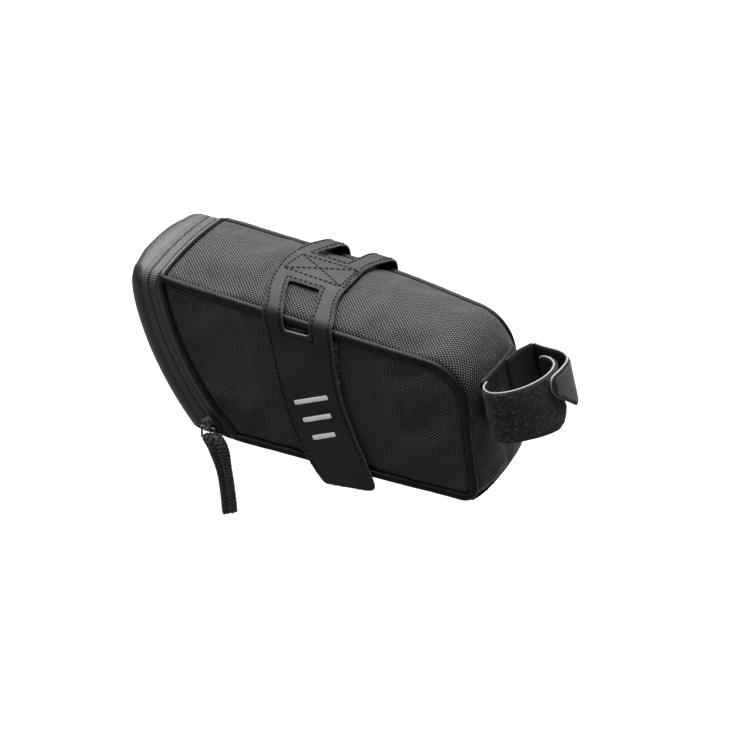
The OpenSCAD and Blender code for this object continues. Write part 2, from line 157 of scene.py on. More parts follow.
def bump(t, p, height, distance, after=None):
    b = node(t, "ShaderNodeBump", Strength=1.0, Distance=distance)
    t.links.new(height, b.inputs["Height"])
    if after is not None:
        t.links.new(after, b.inputs["Normal"])
    t.links.new(b.outputs[0], p.inputs["Normal"])
    return b.outputs[0]


def weave(name, low, high, pitch, depth, rough, sheen, spec=0.5):
    """Basket weave drawn in the flat pattern's millimetres (the UV map), with slow colour drift and fine fibre noise;
    the thread tops are painted lighter as a highlight, the warp more than the weft, and the gaps between threads are
    painted near black as shade.
    """
    m, t, p = nodes_of(name, Roughness=rough, Specular_IOR_Level=spec, Sheen_Weight=sheen, Sheen_Roughness=0.45)
    su, sv = (math_node(t, "SINE", mul(t, c, math.pi / pitch * 1000)) for c in uv_split(t))
    cu, cv = (math_node(t, "ABSOLUTE", c) for c in (su, sv))
    over = math_node(t, "GREATER_THAN", mul(t, su, sv), 0.0)
    warp = mul(t, mul(t, cu, math_node(t, "POWER", cv, 0.45)), over)
    weft = mul(t, mul(t, cv, math_node(t, "POWER", cu, 0.45)), math_node(t, "SUBTRACT", 1.0, over))
    # painted highlight: how brightly each thread top is coloured, the warp more than the weft
    shine = add(t, math_node(t, "POWER", warp, 1.5), mul(t, weft, 0.2))
    drift = add(t, mul(t, object_noise(t, 28.0, 2.0), 0.25), 0.875)
    fibre = add(t, mul(t, object_noise(t, 2600.0, 2.0), 0.5), 0.75)
    tone = mul(t, mul(t, shine, drift), fibre)
    # colour runs from painted shade in the gaps between threads (tone 0) to the painted highlight on the tops
    colour = ramp(t, tone, [(0.0, grey(low, COOL)), (0.35, grey(high * 0.14, COOL)), (0.9, grey(high, COOL))])
    t.links.new(colour, p.inputs["Base Color"])
    bump(t, p, add(t, warp, weft), depth * MM)
    return m


def coated(name, base, rough, grain, depth, tint=(1, 1, 1), spec=0.5, ribs=None, drift=0.3):
    """Smooth coated fabric, leather grain or rubber; ribs, if asked, are (pitch, height) across the UV map's v."""
    m, t, p = nodes_of(name, Specular_IOR_Level=spec)
    d = object_noise(t, 45.0, 3.0)
    colour = ramp(t, d, [(0.3, grey(base * (1 - drift), tint)), (0.7, grey(base * (1 + drift), tint))])
    t.links.new(colour, p.inputs["Base Color"])
    t.links.new(add(t, mul(t, object_noise(t, 160.0, 3.0), 0.16), rough - 0.08), p.inputs["Roughness"])
    last = bump(t, p, object_noise(t, grain, 5.0, 0.7), depth * MM)
    if ribs:
        wave = math_node(t, "SINE", mul(t, uv_split(t)[1], 2 * math.pi / ribs[0] * 1000))
        bump(t, p, wave, ribs[1] * MM, after=last)
    return m


def fuzzy(name, low, high, scale, depth):
    """Brushed pile: dark gaps between lighter tufts."""
    m, t, p = nodes_of(name, Roughness=0.95, Specular_IOR_Level=0.08, Sheen_Weight=0.06, Sheen_Roughness=0.6)
    tufts = object_noise(t, scale, 6.0, 0.75)
    stops = [(0.46, grey(low)), (0.56, grey(high * 0.3, (1, 1, 1.05))), (0.66, grey(high, (1, 1, 1.06)))]
    t.links.new(ramp(t, tufts, stops), p.inputs["Base Color"])
    bump(t, p, tufts, depth * MM)
    return m


def metal(name, base, rough):
    m, t, p = nodes_of(name, Metallic=0.9)
    d = object_noise(t, 900.0, 4.0)
    t.links.new(ramp(t, d, [(0.3, grey(base * 0.75)), (0.7, grey(base * 1.2))]), p.inputs["Base Color"])
    t.links.new(add(t, mul(t, d, 0.2), rough), p.inputs["Roughness"])
    bump(t, p, object_noise(t, 3000.0, 2.0), 0.01 * MM)
    return m


def film(name):
    """Retro-reflective film: fine glass beads in a silver binder."""
    m, t, p = nodes_of(name, Roughness=0.42, Metallic=0.35)
    c = t.nodes.new("ShaderNodeTexCoord")
    beads = node(t, "ShaderNodeTexVoronoi", Scale=5200.0)
    t.links.new(c.outputs["Object"], beads.inputs["Vector"])
    colour = ramp(t, beads.outputs["Distance"], [(0.0, grey(0.34)), (0.6, grey(0.22, (1, 1, 0.98)))])
    t.links.new(colour, p.inputs["Base Color"])
    bump(t, p, beads.outputs["Distance"], 0.02 * MM)
    return m


COOL = (0.98, 0.97, 1.03)
WARM = (1.02, 1.01, 0.97)
nylon = weave("nylon_weave", 0.0006, 0.062, 0.84, 0.22, 0.5, 0.0, spec=0.03)
webbing = weave("webbing_weave", 0.004, 0.026, 1.5, 0.25, 0.7, 0.1)
tarpaulin = weave("base_tarpaulin", 0.005, 0.019, 0.8, 0.05, 0.5, 0.0, spec=0.07)
piping_skin = coated("piping_skin", 0.002, 0.46, 900.0, 0.12, COOL, spec=0.035)
band_skin = coated("band_skin", 0.0095, 0.42, 1400.0, 0.05, WARM, spec=0.11, ribs=(1.15, 0.07))
edge_skin = coated("band_edge_skin", 0.0030, 0.42, 1200.0, 0.06, WARM, spec=0.09)
strap_skin = coated("strap_skin", 0.0062, 0.5, 2600.0, 0.035, WARM, spec=0.035)
strap_back = coated("strap_back", 0.004, 0.7, 3200.0, 0.05, WARM, spec=0.05)
strap_edge = coated("strap_edge", 0.007, 0.6, 3000.0, 0.05, WARM)
post_edge = coated("post_strap_edge", 0.026, 0.7, 3200.0, 0.05, COOL, drift=0.15)
thread = coated("thread", 0.0014, 0.6, 6000.0, 0.03, spec=0.03)
pile = fuzzy("loop_pile", 0.0004, 0.040, 620.0, 0.9)
# A lighter copy of the loop pile: painted light, so the patch still shows in the shadow the strap casts into its
# windows.
lightened_patch_pile = fuzzy("side_pile_lightened", 0.002, 0.10, 620.0, 0.9)
hook = fuzzy("hook_tape", 0.003, 0.02, 1800.0, 0.3)
foam = coated("foam_board", 0.05, 0.85, 2200.0, 0.12)
core = coated("piping_core", 0.75, 0.6, 1200.0, 0.03, drift=0.05)
coil = coated("zip_coil", 0.008, 0.35, 2600.0, 0.02)
nickel = metal("dark_nickel", 0.035, 0.32)
braid = coated("braid_cord", 0.004, 0.5, 5200.0, 0.10, spec=0.22)
reflective = film("reflective_film")
mesh_cloth = coated("mesh_knit", 0.032, 0.75, 2600.0, 0.05)
binding = weave("binding_weave", 0.004, 0.02, 0.8, 0.15, 0.7, 0.1)


# ---------------------------------------------------------------- mesh helpers
class Build:
    """Collects the parts of one object: points, faces, a material number per face and a flat UV.
    A narrowed object follows the bag's taper towards the front."""

    def __init__(self, narrowed=False):
        self.v, self.f, self.m, self.uv, self.n = [], [], [], [], 0
        self.narrowed = narrowed

    def add(self, v, f, m=0, uv=None):
        v = np.asarray(v, float).reshape(-1, 3)
        self.v.append(v)
        self.uv.append(np.zeros((len(v), 2)) if uv is None else np.asarray(uv, float).reshape(-1, 2))
        self.f += [tuple(int(i) + self.n for i in q) for q in f]
        self.m += [m] * len(f) if np.isscalar(m) else [int(i) for i in m]
        self.n += len(v)

    def make(self, name, mats, smooth=True):
        me = bpy.data.meshes.new(name)
        co = np.concatenate(self.v)
        if self.narrowed:
            k = ease(co[:, 0], 18, 96)
            inner = 1 - np.clip(np.abs(co[:, 1]) / 32, 0, 1) ** 4
            co = co + np.stack([-1.8 * k * (1 - inner), -0.135 * k * co[:, 1], -2.4 * k], 1)
        co = co * MM
        me.from_pydata(co.tolist(), [], self.f)
        for m in mats:
            me.materials.append(m)
        me.polygons.foreach_set("material_index", self.m)
        me.polygons.foreach_set("use_smooth", [smooth] * len(self.f))
        layer = me.uv_layers.new(name="UVMap")
        corner = np.zeros(len(me.loops), np.int32)
        me.loops.foreach_get("vertex_index", corner)
        layer.data.foreach_set("uv", (np.concatenate(self.uv)[corner] * MM).astype(np.float32).ravel())
        me.update()
        o = bpy.data.objects.new(name, me)
        scene.collection.objects.link(o)
        return o


def unit(v):
    v = np.asarray(v, float)
    return v / np.maximum(np.linalg.norm(v, axis=-1, keepdims=True), 1e-12)


def point_normals(p, tris):
    n = np.zeros_like(p)
    a, b, c = (p[tris[:, i]] for i in range(3))
    f = np.cross(b - a, c - a)
    for i in range(3):
        np.add.at(n, tris[:, i], f)
    return unit(n)


def facing(p, tris, n):
    """The triangles, turned over if they face away from the directions n."""
    return tris[:, ::-1] if np.sum(point_normals(p, tris) * n) < 0 else tris


def path_len(path):
    return np.concatenate([[0], np.cumsum(np.linalg.norm(np.diff(path, axis=0), axis=1))])


def at_length(s, path, length):
    return np.stack([np.interp(s, length, path[:, k]) for k in range(2)], 1)


def heading(s, path, length, e):
    """Direction of a flat path at the lengths s, taken over e to each side."""
    return unit(at_length(s + e, path, length) - at_length(s - e, path, length))


def left_of(t):
    return np.stack([-t[:, 1], t[:, 0]], 1)


def inside(poly, pts):
    x, y = pts[:, 0], pts[:, 1]
    ok = np.zeros(len(pts), bool)
    for (x0, y0), (x1, y1) in zip(poly, np.roll(poly, -1, axis=0)):
        ok ^= ((y0 > y) != (y1 > y)) & (x < (x1 - x0) * (y - y0) / ((y1 - y0) or 1e-12) + x0)
    return ok


def edge_distance(line, pts, closed=True):
    """Distance from each point to a polyline."""
    line = np.asarray(line, float)
    ends = np.roll(line, -1, axis=0) if closed else line[1:]
    starts = line if closed else line[:-1]
    best = np.full(len(pts), np.inf)
    for a, b in zip(starts, ends):
        d = b - a
        k = np.clip(((pts - a) @ d) / max(d @ d, 1e-12), 0, 1)
        best = np.minimum(best, np.linalg.norm(pts - a - k[:, None] * d, axis=1))
    return best


def resample(line, step, closed=False):
    """Every straight piece of a line cut into equal lengths of about step; its corners stay."""
    line = [np.asarray(p, float) for p in line]
    if closed:
        line = line + [line[0]]
    out = []
    for a, b in zip(line[:-1], line[1:]):
        n = max(1, int(round(np.linalg.norm(b - a) / step)))
        out += [a + (b - a) * i / n for i in range(n)]
    return np.array(out if closed else out + [line[-1]])


def rounded(points, radii, n=6):
    """Polygon with its corners rounded; a radius of 0 keeps a corner."""
    out = []
    count = len(points)
    for i, (p, r) in enumerate(zip(points, radii)):
        p = np.asarray(p, float)
        if r <= 0:
            out.append(p)
            continue
        a, b = unit(np.asarray(points[i - 1], float) - p), unit(np.asarray(points[(i + 1) % count], float) - p)
        half = math.acos(max(-1, min(1, float(a @ b)))) / 2
        back = r / math.tan(half)
        s, e = p + a * back, p + b * back
        out += [(1 - k) ** 2 * s + 2 * k * (1 - k) * p + k * k * e for k in np.linspace(0, 1, n + 1)]
    return np.array(out)


def pattern(outline, step):
    """Flat pattern: points and counter-clockwise triangles inside an outline."""
    loop = resample(outline, step, True)
    edges = [(i, (i + 1) % len(loop)) for i in range(len(loop))]
    lo, hi = loop.min(0), loop.max(0)
    gx, gy = (np.arange(lo[i] + step * 0.5, hi[i], step) for i in range(2))
    grid = np.stack(np.meshgrid(gx, gy, indexing="ij"), -1).reshape(-1, 2)
    grid = grid[inside(loop, grid)]
    grid = grid[edge_distance(loop, grid) > step * 0.55]
    found = geometry.delaunay_2d_cdt([Vector(q) for q in [*loop, *grid]], edges, [], 0, 1e-7)
    p, t = np.array([list(v) for v in found[0]]), np.array([list(f) for f in found[2]])
    t = t[inside(loop, p[t].mean(1))]
    a, b, c = (p[t[:, i]] for i in range(3))
    d1, d2 = b - a, c - a
    turned = d1[:, 0] * d2[:, 1] - d1[:, 1] * d2[:, 0] < 0
    t[turned] = t[turned][:, ::-1]
    return p, t


def laid(outline, step, place):
    """A pattern laid on a surface by place: its flat points, triangles, points and outward directions."""
    pts, tris = pattern(outline, step)
    p, n = place(pts)
    return pts, facing(p, tris, n), p, n


def even(pts, value, axis):
    """Flat points set into space at an even value of one axis."""
    return np.insert(np.asarray(pts, float), axis, value, axis=1)


def border(tris):
    """Directed edges that only one triangle has."""
    seen = dict.fromkeys(e for a, b, c in tris for e in ((a, b), (b, c), (c, a)))
    return [e for e in seen if (e[1], e[0]) not in seen]


def shell(b, p, tris, thick, mats=(0, 0, 0), uv=None, lower=0.1, bulge=0.05,
          joined=None, normals=None, plain=None):
    """Gives a sheet thickness, behind its face, with a soft rounded rim: its faces draw in by lower and its
    middle stands out by bulge. mats are for its face, back and rim. joined marks points on an edge that
    butts against the next piece, which gets no rim; plain marks an edge finished like the back."""
    n = point_normals(p, tris) if normals is None else normals
    joined = np.zeros(len(p), bool) if joined is None else joined
    plain = np.zeros(len(p), bool) if plain is None else plain
    rim = border(tris)
    out = np.zeros_like(p)
    for i, j in rim:
        d = np.cross(p[j] - p[i], (n[i] + n[j]) / 2)
        out[i] += d
        out[j] += d
    on = np.zeros(len(p), bool)
    on[[i for e in rim for i in e]] = True
    out[on] = unit(out[on])
    free = on & ~joined
    top, low = p.copy(), p - n * thick
    top[free] -= n[free] * lower
    low[free] += n[free] * lower
    mid = p - n * thick / 2 + out * bulge * free[:, None]
    count = len(p)
    where = np.cumsum(on) - 1 + 2 * count
    faces = [tuple(t) for t in tris] + [tuple(t[::-1] + count) for t in tris]
    which = [mats[0]] * len(tris) + [mats[1]] * len(tris)
    for i, j in rim:
        if not (joined[i] and joined[j]):
            faces += [(j, i, where[i], where[j]), (where[j], where[i], i + count, j + count)]
            which += [mats[1 if plain[i] and plain[j] else 2]] * 2
    b.add(np.concatenate([top, low, mid[on]]), faces, which, np.concatenate([uv, uv, uv[on]]))
    return n


def frames(path, up):
    """Directions along a path and two directions across it that don't twist."""
    t = unit(np.gradient(path, axis=0))
    side = np.cross(t[0], up)
    s = [unit(side if np.linalg.norm(side) > 1e-6 else np.cross(t[0], [0, 1, 0]))]
    for k in range(1, len(path)):
        s.append(unit(s[-1] - t[k] * (s[-1] @ t[k])))
    s = np.array(s)
    return s, np.cross(t, s)


def tube(b, path, r, sides, squash=1.0, up=(0, 0, 1)):
    """Closed tube along a path; r is a number or one per point."""
    path = np.asarray(path, float)
    s, n = frames(path, up)
    count = len(path)
    r = np.broadcast_to(np.asarray(r, float), (count,))
    a = np.linspace(0, 2 * math.pi, sides, endpoint=False)
    ring = s[:, None] * np.cos(a)[None, :, None] + n[:, None] * np.sin(a)[None, :, None] * squash
    v = (path[:, None] + ring * r[:, None, None]).reshape(-1, 3)
    f = wrap(count, sides) + [tuple(range(sides - 1, -1, -1)), tuple((count - 1) * sides + k for k in range(sides))]
    uv = np.stack([np.broadcast_to(a * 2, (count, sides)), np.broadcast_to(path_len(path)[:, None], (count, sides))], -1)
    b.add(v, f, 0, uv.reshape(-1, 2))


def wrap(rings, sides):
    """Faces between rings of points that follow each other."""
    return [(i * sides + k, i * sides + (k + 1) % sides, (i + 1) * sides + (k + 1) % sides, (i + 1) * sides + k)
            for i in range(rings - 1) for k in range(sides)]


def stitches(b, line, place, m, length, gap, width):
    """A row of sewn stitches along a line of the flat pattern, each a small rounded bar half sunk in the surface."""
    line = np.asarray(line, float)
    along = path_len(line)
    n = max(1, int(round(along[-1] / (length + gap))))
    pitch = along[-1] / n
    at = (np.arange(n) + 0.5) * pitch
    half = (pitch - gap) / 2
    p0, n0 = place(at_length(at - half, line, along))
    p1, n1 = place(at_length(at + half, line, along))
    profile = [(-1.0, 0.35), (-0.7, 0.9), (0.0, 1.0), (0.7, 0.9), (1.0, 0.35)]
    sides = 6
    turn = [2 * math.pi * j / sides for j in range(sides)]
    f = wrap(len(profile), sides)
    f += [tuple(range(sides - 1, -1, -1)), tuple((len(profile) - 1) * sides + j for j in range(sides))]
    for q0, q1, m0, m1 in zip(p0, p1, n0, n1):
        c, d, up = (q0 + q1) / 2, (q1 - q0) / 2, unit(m0 + m1)
        across = unit(np.cross(unit(d), up))
        b.add([c + d * k + up * (s * width * 0.75 * math.sin(a)) + across * (s * width * math.cos(a))
               for k, s in profile for a in turn], f, m)


SETTLE_FRAMES = 20


def settle(p, tris, pinned, pressure, cap, shrink):
    """Runs Blender's cloth on a sheet held along its seams and returns where the sheet comes to rest, a little
    smoothed and moved by no more than cap."""
    me = bpy.data.meshes.new("settle")
    me.from_pydata((p * MM).tolist(), [], [tuple(int(i) for i in t) for t in tris])
    o = bpy.data.objects.new("settle", me)
    scene.collection.objects.link(o)
    o.vertex_groups.new(name="pin").add([int(i) for i in np.flatnonzero(pinned)], 1.0, "REPLACE")
    mod = o.modifiers.new("Cloth", "CLOTH")
    s = mod.settings
    s.quality = 6
    s.mass = 0.15
    s.air_damping = 1.0
    s.tension_stiffness = s.compression_stiffness = 20
    s.shear_stiffness = 8
    s.bending_stiffness = 0.6
    s.vertex_group_mass = "pin"
    s.shrink_min = shrink
    s.use_pressure = True
    s.uniform_pressure_force = pressure
    s.effector_weights.gravity = 0
    mod.collision_settings.use_collision = False
    mod.point_cache.frame_start = 1
    mod.point_cache.frame_end = SETTLE_FRAMES
    for f in range(1, SETTLE_FRAMES + 1):
        scene.frame_set(f)
    done = o.evaluated_get(bpy.context.evaluated_depsgraph_get())
    q = np.array([v.co[:] for v in done.to_mesh().vertices], float) / MM
    done.to_mesh_clear()
    bpy.data.objects.remove(o)
    bpy.data.meshes.remove(me)
    scene.frame_set(1)
    if not np.isfinite(q).all():
        return p
    move = q - p
    size = np.linalg.norm(move, axis=1, keepdims=True)
    q = p + move * np.minimum(1, cap / np.maximum(size, 1e-9))
    return p + relax(q - p, tris, 2, pinned)


def relax(v, tris, rounds, held):
    """Averages values over neighbouring points, except at the held ones."""
    e = np.concatenate([tris[:, [0, 1]], tris[:, [1, 2]], tris[:, [2, 0]]])
    e = np.concatenate([e, e[:, ::-1]])
    count = np.maximum(np.bincount(e[:, 0], minlength=len(v)), 1).astype(float)[:, None]
    keep = v[held]
    for _ in range(rounds):
        s = np.zeros_like(v)
        np.add.at(s, e[:, 0], v[e[:, 1]])
        v = 0.5 * v + 0.5 * s / count
        v[held] = keep
    return v


def smooth_path(p, rounds=3):
    p = np.asarray(p, float)
    for _ in range(rounds):
        q = [p[0]]
        for a, c in zip(p[:-1], p[1:]):
            q += [0.75 * a + 0.25 * c, 0.25 * a + 0.75 * c]
        p = np.array(q + [p[-1]])
    return p


def ease(x, lo, hi):
    k = np.clip((x - lo) / (hi - lo), 0, 1)
    return k * k * (3 - 2 * k)


def lumps(pts, scale, seed=0.0):
    return np.array([noise.noise(Vector((a / scale + seed, b / scale - seed, c / scale + 0.37 * seed))) for a, b, c in pts])


def finish_piece(o, body, nodes, bend=None):
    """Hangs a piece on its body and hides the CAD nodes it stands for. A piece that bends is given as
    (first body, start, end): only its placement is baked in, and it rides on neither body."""
    if bend:
        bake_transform(o)
    else:
        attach(o, body)
    if nodes:
        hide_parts(*nodes)


def box(name):
    """Corners of a CAD node's box."""
    return [np.array(c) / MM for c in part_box(name)]


def both(make):
    """Makes the right-hand piece and then the left-hand one."""
    for side in SIDES:
        make(side)




# ---------------------------------------------------------------- side outline of the bag, in X-Z
def meet(a, b):
    n = np.array([-b[1][1], b[1][0]])
    return a[0] + a[1] * (((b[0] - a[0]) @ n) / (a[1] @ n))


FRONT_TOP = np.array([TOP_FRONT, top_line(TOP_FRONT)])
FRONT_FOOT = np.array([96.0, PIPE_LOW])
REAR_TOP = np.array([TOP_BACK, top_line(TOP_BACK)])
LINES = [(np.array([FAR_BACK, PIPE_LOW]), np.array([1.0, 0.0])), (FRONT_FOOT, unit(FRONT_TOP - FRONT_FOOT)),
         (FRONT_TOP, unit(REAR_TOP - FRONT_TOP))]


def arc_corner(p, v, n, r, count):
    a, b = unit(p - v), unit(n - v)
    half = math.acos(float(a @ b)) / 2
    c = v + unit(a + b) * r / math.sin(half)
    s, e = v + a * r / math.tan(half) - c, v + b * r / math.tan(half) - c
    a0 = math.atan2(s[1], s[0])
    turn = (math.atan2(e[1], e[0]) - a0) % (2 * math.pi)
    return [c + r * np.array([math.cos(a0 + turn * i / count), math.sin(a0 + turn * i / count)]) for i in range(count + 1)]


def outline_path(d, step=2.0):
    """From the seam's foot along the base, up the front and back along the top to the seam, d inside the piping's centre."""
    inward = [(p + np.array([-t[1], t[0]]) * d, t) for p, t in LINES]
    v0, v1 = meet(inward[0], inward[1]), meet(inward[1], inward[2])
    foot = np.array([seam_x(SEAM_R - 0.6, PIPE_LOW + d), PIPE_LOW + d])
    back = inward[2][0] + inward[2][1] * 200
    z = top_line(-67.0) - d
    rear = np.array([seam_x(SEAM_R - 0.6, z), z])
    pts = [foot] + arc_corner(foot, v0, v1, 6 - min(d, 4), 8) + arc_corner(v0, v1, back, 20 - d, 14) + [rear]
    return resample(pts, step)


PIPING = outline_path(0.0)


# ---------------------------------------------------------------- side panels
CLOTH, PANEL_STEP = 1.0, 1.9


def strap_zone(x):
    """1 where the rail strap and its loop patch press the side panel flat."""
    lo, hi, soft = -10.0, 48.0, 9.0
    return ease(x, lo - soft, lo) * (1 - ease(x, hi, hi + soft))


def side_panel(side):
    name = SIDES[side]
    edge = outline_path(1.1, 1.6)
    z = np.linspace(edge[-1][1], edge[0][1], 40)[1:-1]
    pts, tris = pattern(np.concatenate([edge, np.stack([seam_x(SEAM_R - 0.6, z), z], 1)]), PANEL_STEP)
    x, z = pts.T
    d = edge_distance(PIPING, pts, closed=False)
    d_rear = SEAM_R - np.hypot(x - SEAM_X, z - SEAM_Z)
    near = np.minimum(d, d_rear + 1.0)
    calm = strap_zone(x + (z + 40) * 0.25)
    puff = (1 - np.exp(-near / 12.0)) * (1.9 * (1 - calm))
    shoulder = 1.35 * (1 - np.exp(-np.maximum(d - 1.0, 0) / 1.5))
    dent = -0.9 * np.exp(-((x - 62 + (z + 42) * 0.9) / 9) ** 2) * np.exp(-((z + 40) / 22) ** 2)
    y = 31.25 + shoulder + puff + dent * (1 - calm)
    y = np.where(d_rear < 2.5, np.minimum(y, 31.9 + 0.3 * np.maximum(d_rear, 0)), y)
    p = even(pts, side * y, 1)
    tris = facing(p, tris, (0, side, 0))
    p = settle(p, tris, (d < 2.4) | (d_rear < 1.8) | (calm > 0.6), pressure=2.5, cap=1.6, shrink=-0.03)
    wrinkles = 0.3 * lumps(p, 13.0, 3.1 + side) + 0.75 * lumps(p, 27.0, 8.3 - side)
    p[:, 1] += side * wrinkles * (1 - calm) * np.clip(near / 6, 0, 1)
    b = Build(True)
    shell(b, p, tris, CLOTH, uv=pts)
    o = b.make(f"{name}_side_cloth", [nylon])
    finish_piece(o, "bag", [f"{name}_side_panel"])


both(side_panel)


# ---------------------------------------------------------------- top and front panel, one length of cloth
TOP_PATH = PIPING[::-1]
TOP_LEN = path_len(TOP_PATH)
FRONT_START = TOP_LEN[np.argmax(TOP_PATH[:, 0] > 70)]
TOP_END = TOP_LEN[np.flatnonzero((TOP_PATH[:, 1] < PIPE_LOW + 0.5) & (TOP_PATH[:, 0] > 80))[0]]
PANEL_HALF = 30.7


def crown(s):
    """Height of the cloth at the middle above the piping line, along the length of the panel."""
    x = np.interp(s, TOP_LEN, TOP_PATH[:, 0])
    over = np.interp(x, [-66, -52, -34, -14, 16, 34, 60, 80], [3.8, 5.0, 6.4, 7.8, 7.6, 7.2, 6.0, 5.2])
    front = np.interp(s, [FRONT_START + 12, TOP_END - 30, TOP_END], [5.0, 3.6, 2.0])
    return np.where(s < FRONT_START + 12, over, front)


def top_place(pts):
    s, y = pts.T
    t = heading(s, TOP_PATH, TOP_LEN, 0.8)
    k = np.abs(y) / PANEL_HALF
    shoulder = 1.5 * (1 - np.exp(-(PANEL_HALF - np.abs(y)) / 1.7)) * (1 - 0.6 * (1 - k ** 2))
    h = crown(s) * (1 - k ** 2.3) - 0.5 + shoulder
    return even(at_length(s, TOP_PATH, TOP_LEN) + left_of(t) * h[:, None], y, 1)


def top_panel():
    start = 0.3
    pts, tris = pattern([(start, -PANEL_HALF), (TOP_END, -PANEL_HALF), (TOP_END, PANEL_HALF), (start, PANEL_HALF)],
                        PANEL_STEP)
    p = top_place(pts)
    tris = facing(p, tris, (0, 0, 1))
    gap = np.minimum(PANEL_HALF - np.abs(pts[:, 1]), np.minimum(pts[:, 0] - start, TOP_END - pts[:, 0]))
    under = ease(p[:, 0], -30, -20) * (1 - ease(p[:, 0], 27, 37)) * (p[:, 2] > -20)
    p = settle(p, tris, (gap < 1.6) | (under > 0.7), pressure=2.0, cap=1.5, shrink=-0.02)
    p += point_normals(p, tris) * (0.4 * lumps(p, 17.0, 7.7) * (1 - under) * np.clip(gap / 8, 0, 1))[:, None]
    b = Build(True)
    shell(b, p, tris, CLOTH, uv=pts)
    o = b.make("top_front_cloth", [nylon])
    finish_piece(o, "bag", ["top_front_panel"])


top_panel()


# ---------------------------------------------------------------- piping
def piping(side):
    name = SIDES[side]
    path = outline_path(0.0, 1.2)
    p = even(path, side * HALF, 1)
    end = ease(np.linalg.norm(p - p[-1], axis=1), 0, 9)
    p[:, 1] = side * (HALF - 0.5 * (1 - end))
    last = p[-1] + (p[-1] - p[-2]) * 1.2 + np.array([0, 0, -0.6])
    start = [p[0] + np.array([-k, -side * 0.035 * k, 0.02 * k]) for k in (12, 9, 6, 3)]
    p = np.concatenate([start, p, [last]])
    if side > 0:
        p[:, 2] -= 0.9 * ease(p[:, 2], -40, -22)
    r = 1.95 + 0.12 * lumps(p, 6.0, 4.2) - 0.55 * ease(-p[:, 0], 30, 44) * (p[:, 2] < -70)
    b = Build(True)
    tube(b, p, r, 14)
    finish_piece(b.make(f"{name}_piping", [piping_skin]), "bag", [f"{name}_piping_sleeve"])


both(piping)


def side_board(side):
    name = SIDES[side]
    lo, hi = box(f"{name}_side_board")
    edge = outline_path(3.4, 2.5)
    z = np.linspace(edge[-1][1], edge[0][1], 30)[1:-1]
    outline = np.concatenate([edge[edge[:, 0] > lo[0]], np.stack([np.maximum(seam_x(SEAM_R - 3.0, z), lo[0]), z], 1)])
    pts, tris = pattern(outline, 4.0)
    p = even(pts, side * max(abs(lo[1]), abs(hi[1])), 1)
    b = Build(True)
    shell(b, p, facing(p, tris, (0, side, 0)), 1.4, uv=pts, lower=0.2, bulge=0.1)
    finish_piece(b.make(f"{name}_board_foam", [foam]), "bag", [f"{name}_side_board"])
    b = Build(True)
    tube(b, even(PIPING, side * HALF, 1), 0.9, 8)
    finish_piece(b.make(f"{name}_piping_cord", [core]), "bag", [f"{name}_piping_core"])


def base_board():
    lo, hi = box("base_board")
    pts, tris = pattern(rounded([(lo[0], lo[1]), (hi[0], lo[1]), (hi[0], hi[1]), (lo[0], hi[1])], [4] * 4), 5.0)
    b = Build(True)
    shell(b, even(pts, hi[2], 2), tris, hi[2] - lo[2], uv=pts, lower=0.2, bulge=0.1)
    finish_piece(b.make("base_board_foam", [foam]), "bag", ["base_board"])


both(side_board)
base_board()


# ---------------------------------------------------------------- zip band: two coated tapes round the bag
def band_outline(step=1.0):
    """Places round the band's U: (kind, value, side, outward direction in Y-Z)."""
    n_side, n_turn, n_top = int(74 / step), int(11 / step), int(2 * BAND_FLAT / step)
    leg = [("side", i / n_side, -1, (-1.0, 0.0)) for i in range(n_side)]
    for i in range(n_turn):
        a = rad(90 * i / n_turn)
        leg.append(("turn", a, -1, (-math.cos(a), math.sin(a))))
    top = [("top", -BAND_FLAT + 2 * BAND_FLAT * i / n_top, 0, (0.0, 1.0)) for i in range(n_top + 1)]
    return leg + top + [(kind, value, 1, (-y, z)) for kind, value, _, (y, z) in leg[::-1]]


def band_crown(x):
    return np.interp(x, [-95, -66, -18], [1.4, 3.2, 3.2])


def band_point(place, r, h):
    """A point of the band at radius r from the seam's axis, h proud of the tape."""
    kind, value, side, (oy, oz) = place
    x = -70.0
    for _ in range(4):
        edge = top_line(x) + band_crown(x) * (1 - (BAND_FLAT / TAPE_OUT) ** 2)
        if kind == "side":
            y, z = side * TAPE_OUT, BAND_FOOT + value * (edge - BAND_R - BAND_FOOT)
        elif kind == "turn":
            y, z = side * (BAND_FLAT + BAND_R * math.cos(value)), edge - BAND_R + BAND_R * math.sin(value)
        else:
            y, z = value, top_line(x) + band_crown(x) * (1 - (value / TAPE_OUT) ** 2)
        x = float(seam_x(r, z))
    out = float(ease(r, 141, 150))
    if kind == "top":
        back = 1.5 * float(ease(abs(value), 10, BAND_FLAT)) - 1.2 * (1 - (value / BAND_FLAT) ** 2)
        return np.array([x + out * back, y, z + h])
    soft = 0.6 * out * math.sin(2 * value) if kind == "turn" else 0.0
    back = out * (1.5 if kind == "turn" else 1.5 * math.exp(-(edge - BAND_R - z) / 7.0))
    return np.array([x + back + soft * 0.5, y + oy * (h - soft), z + oz * (h - soft)])


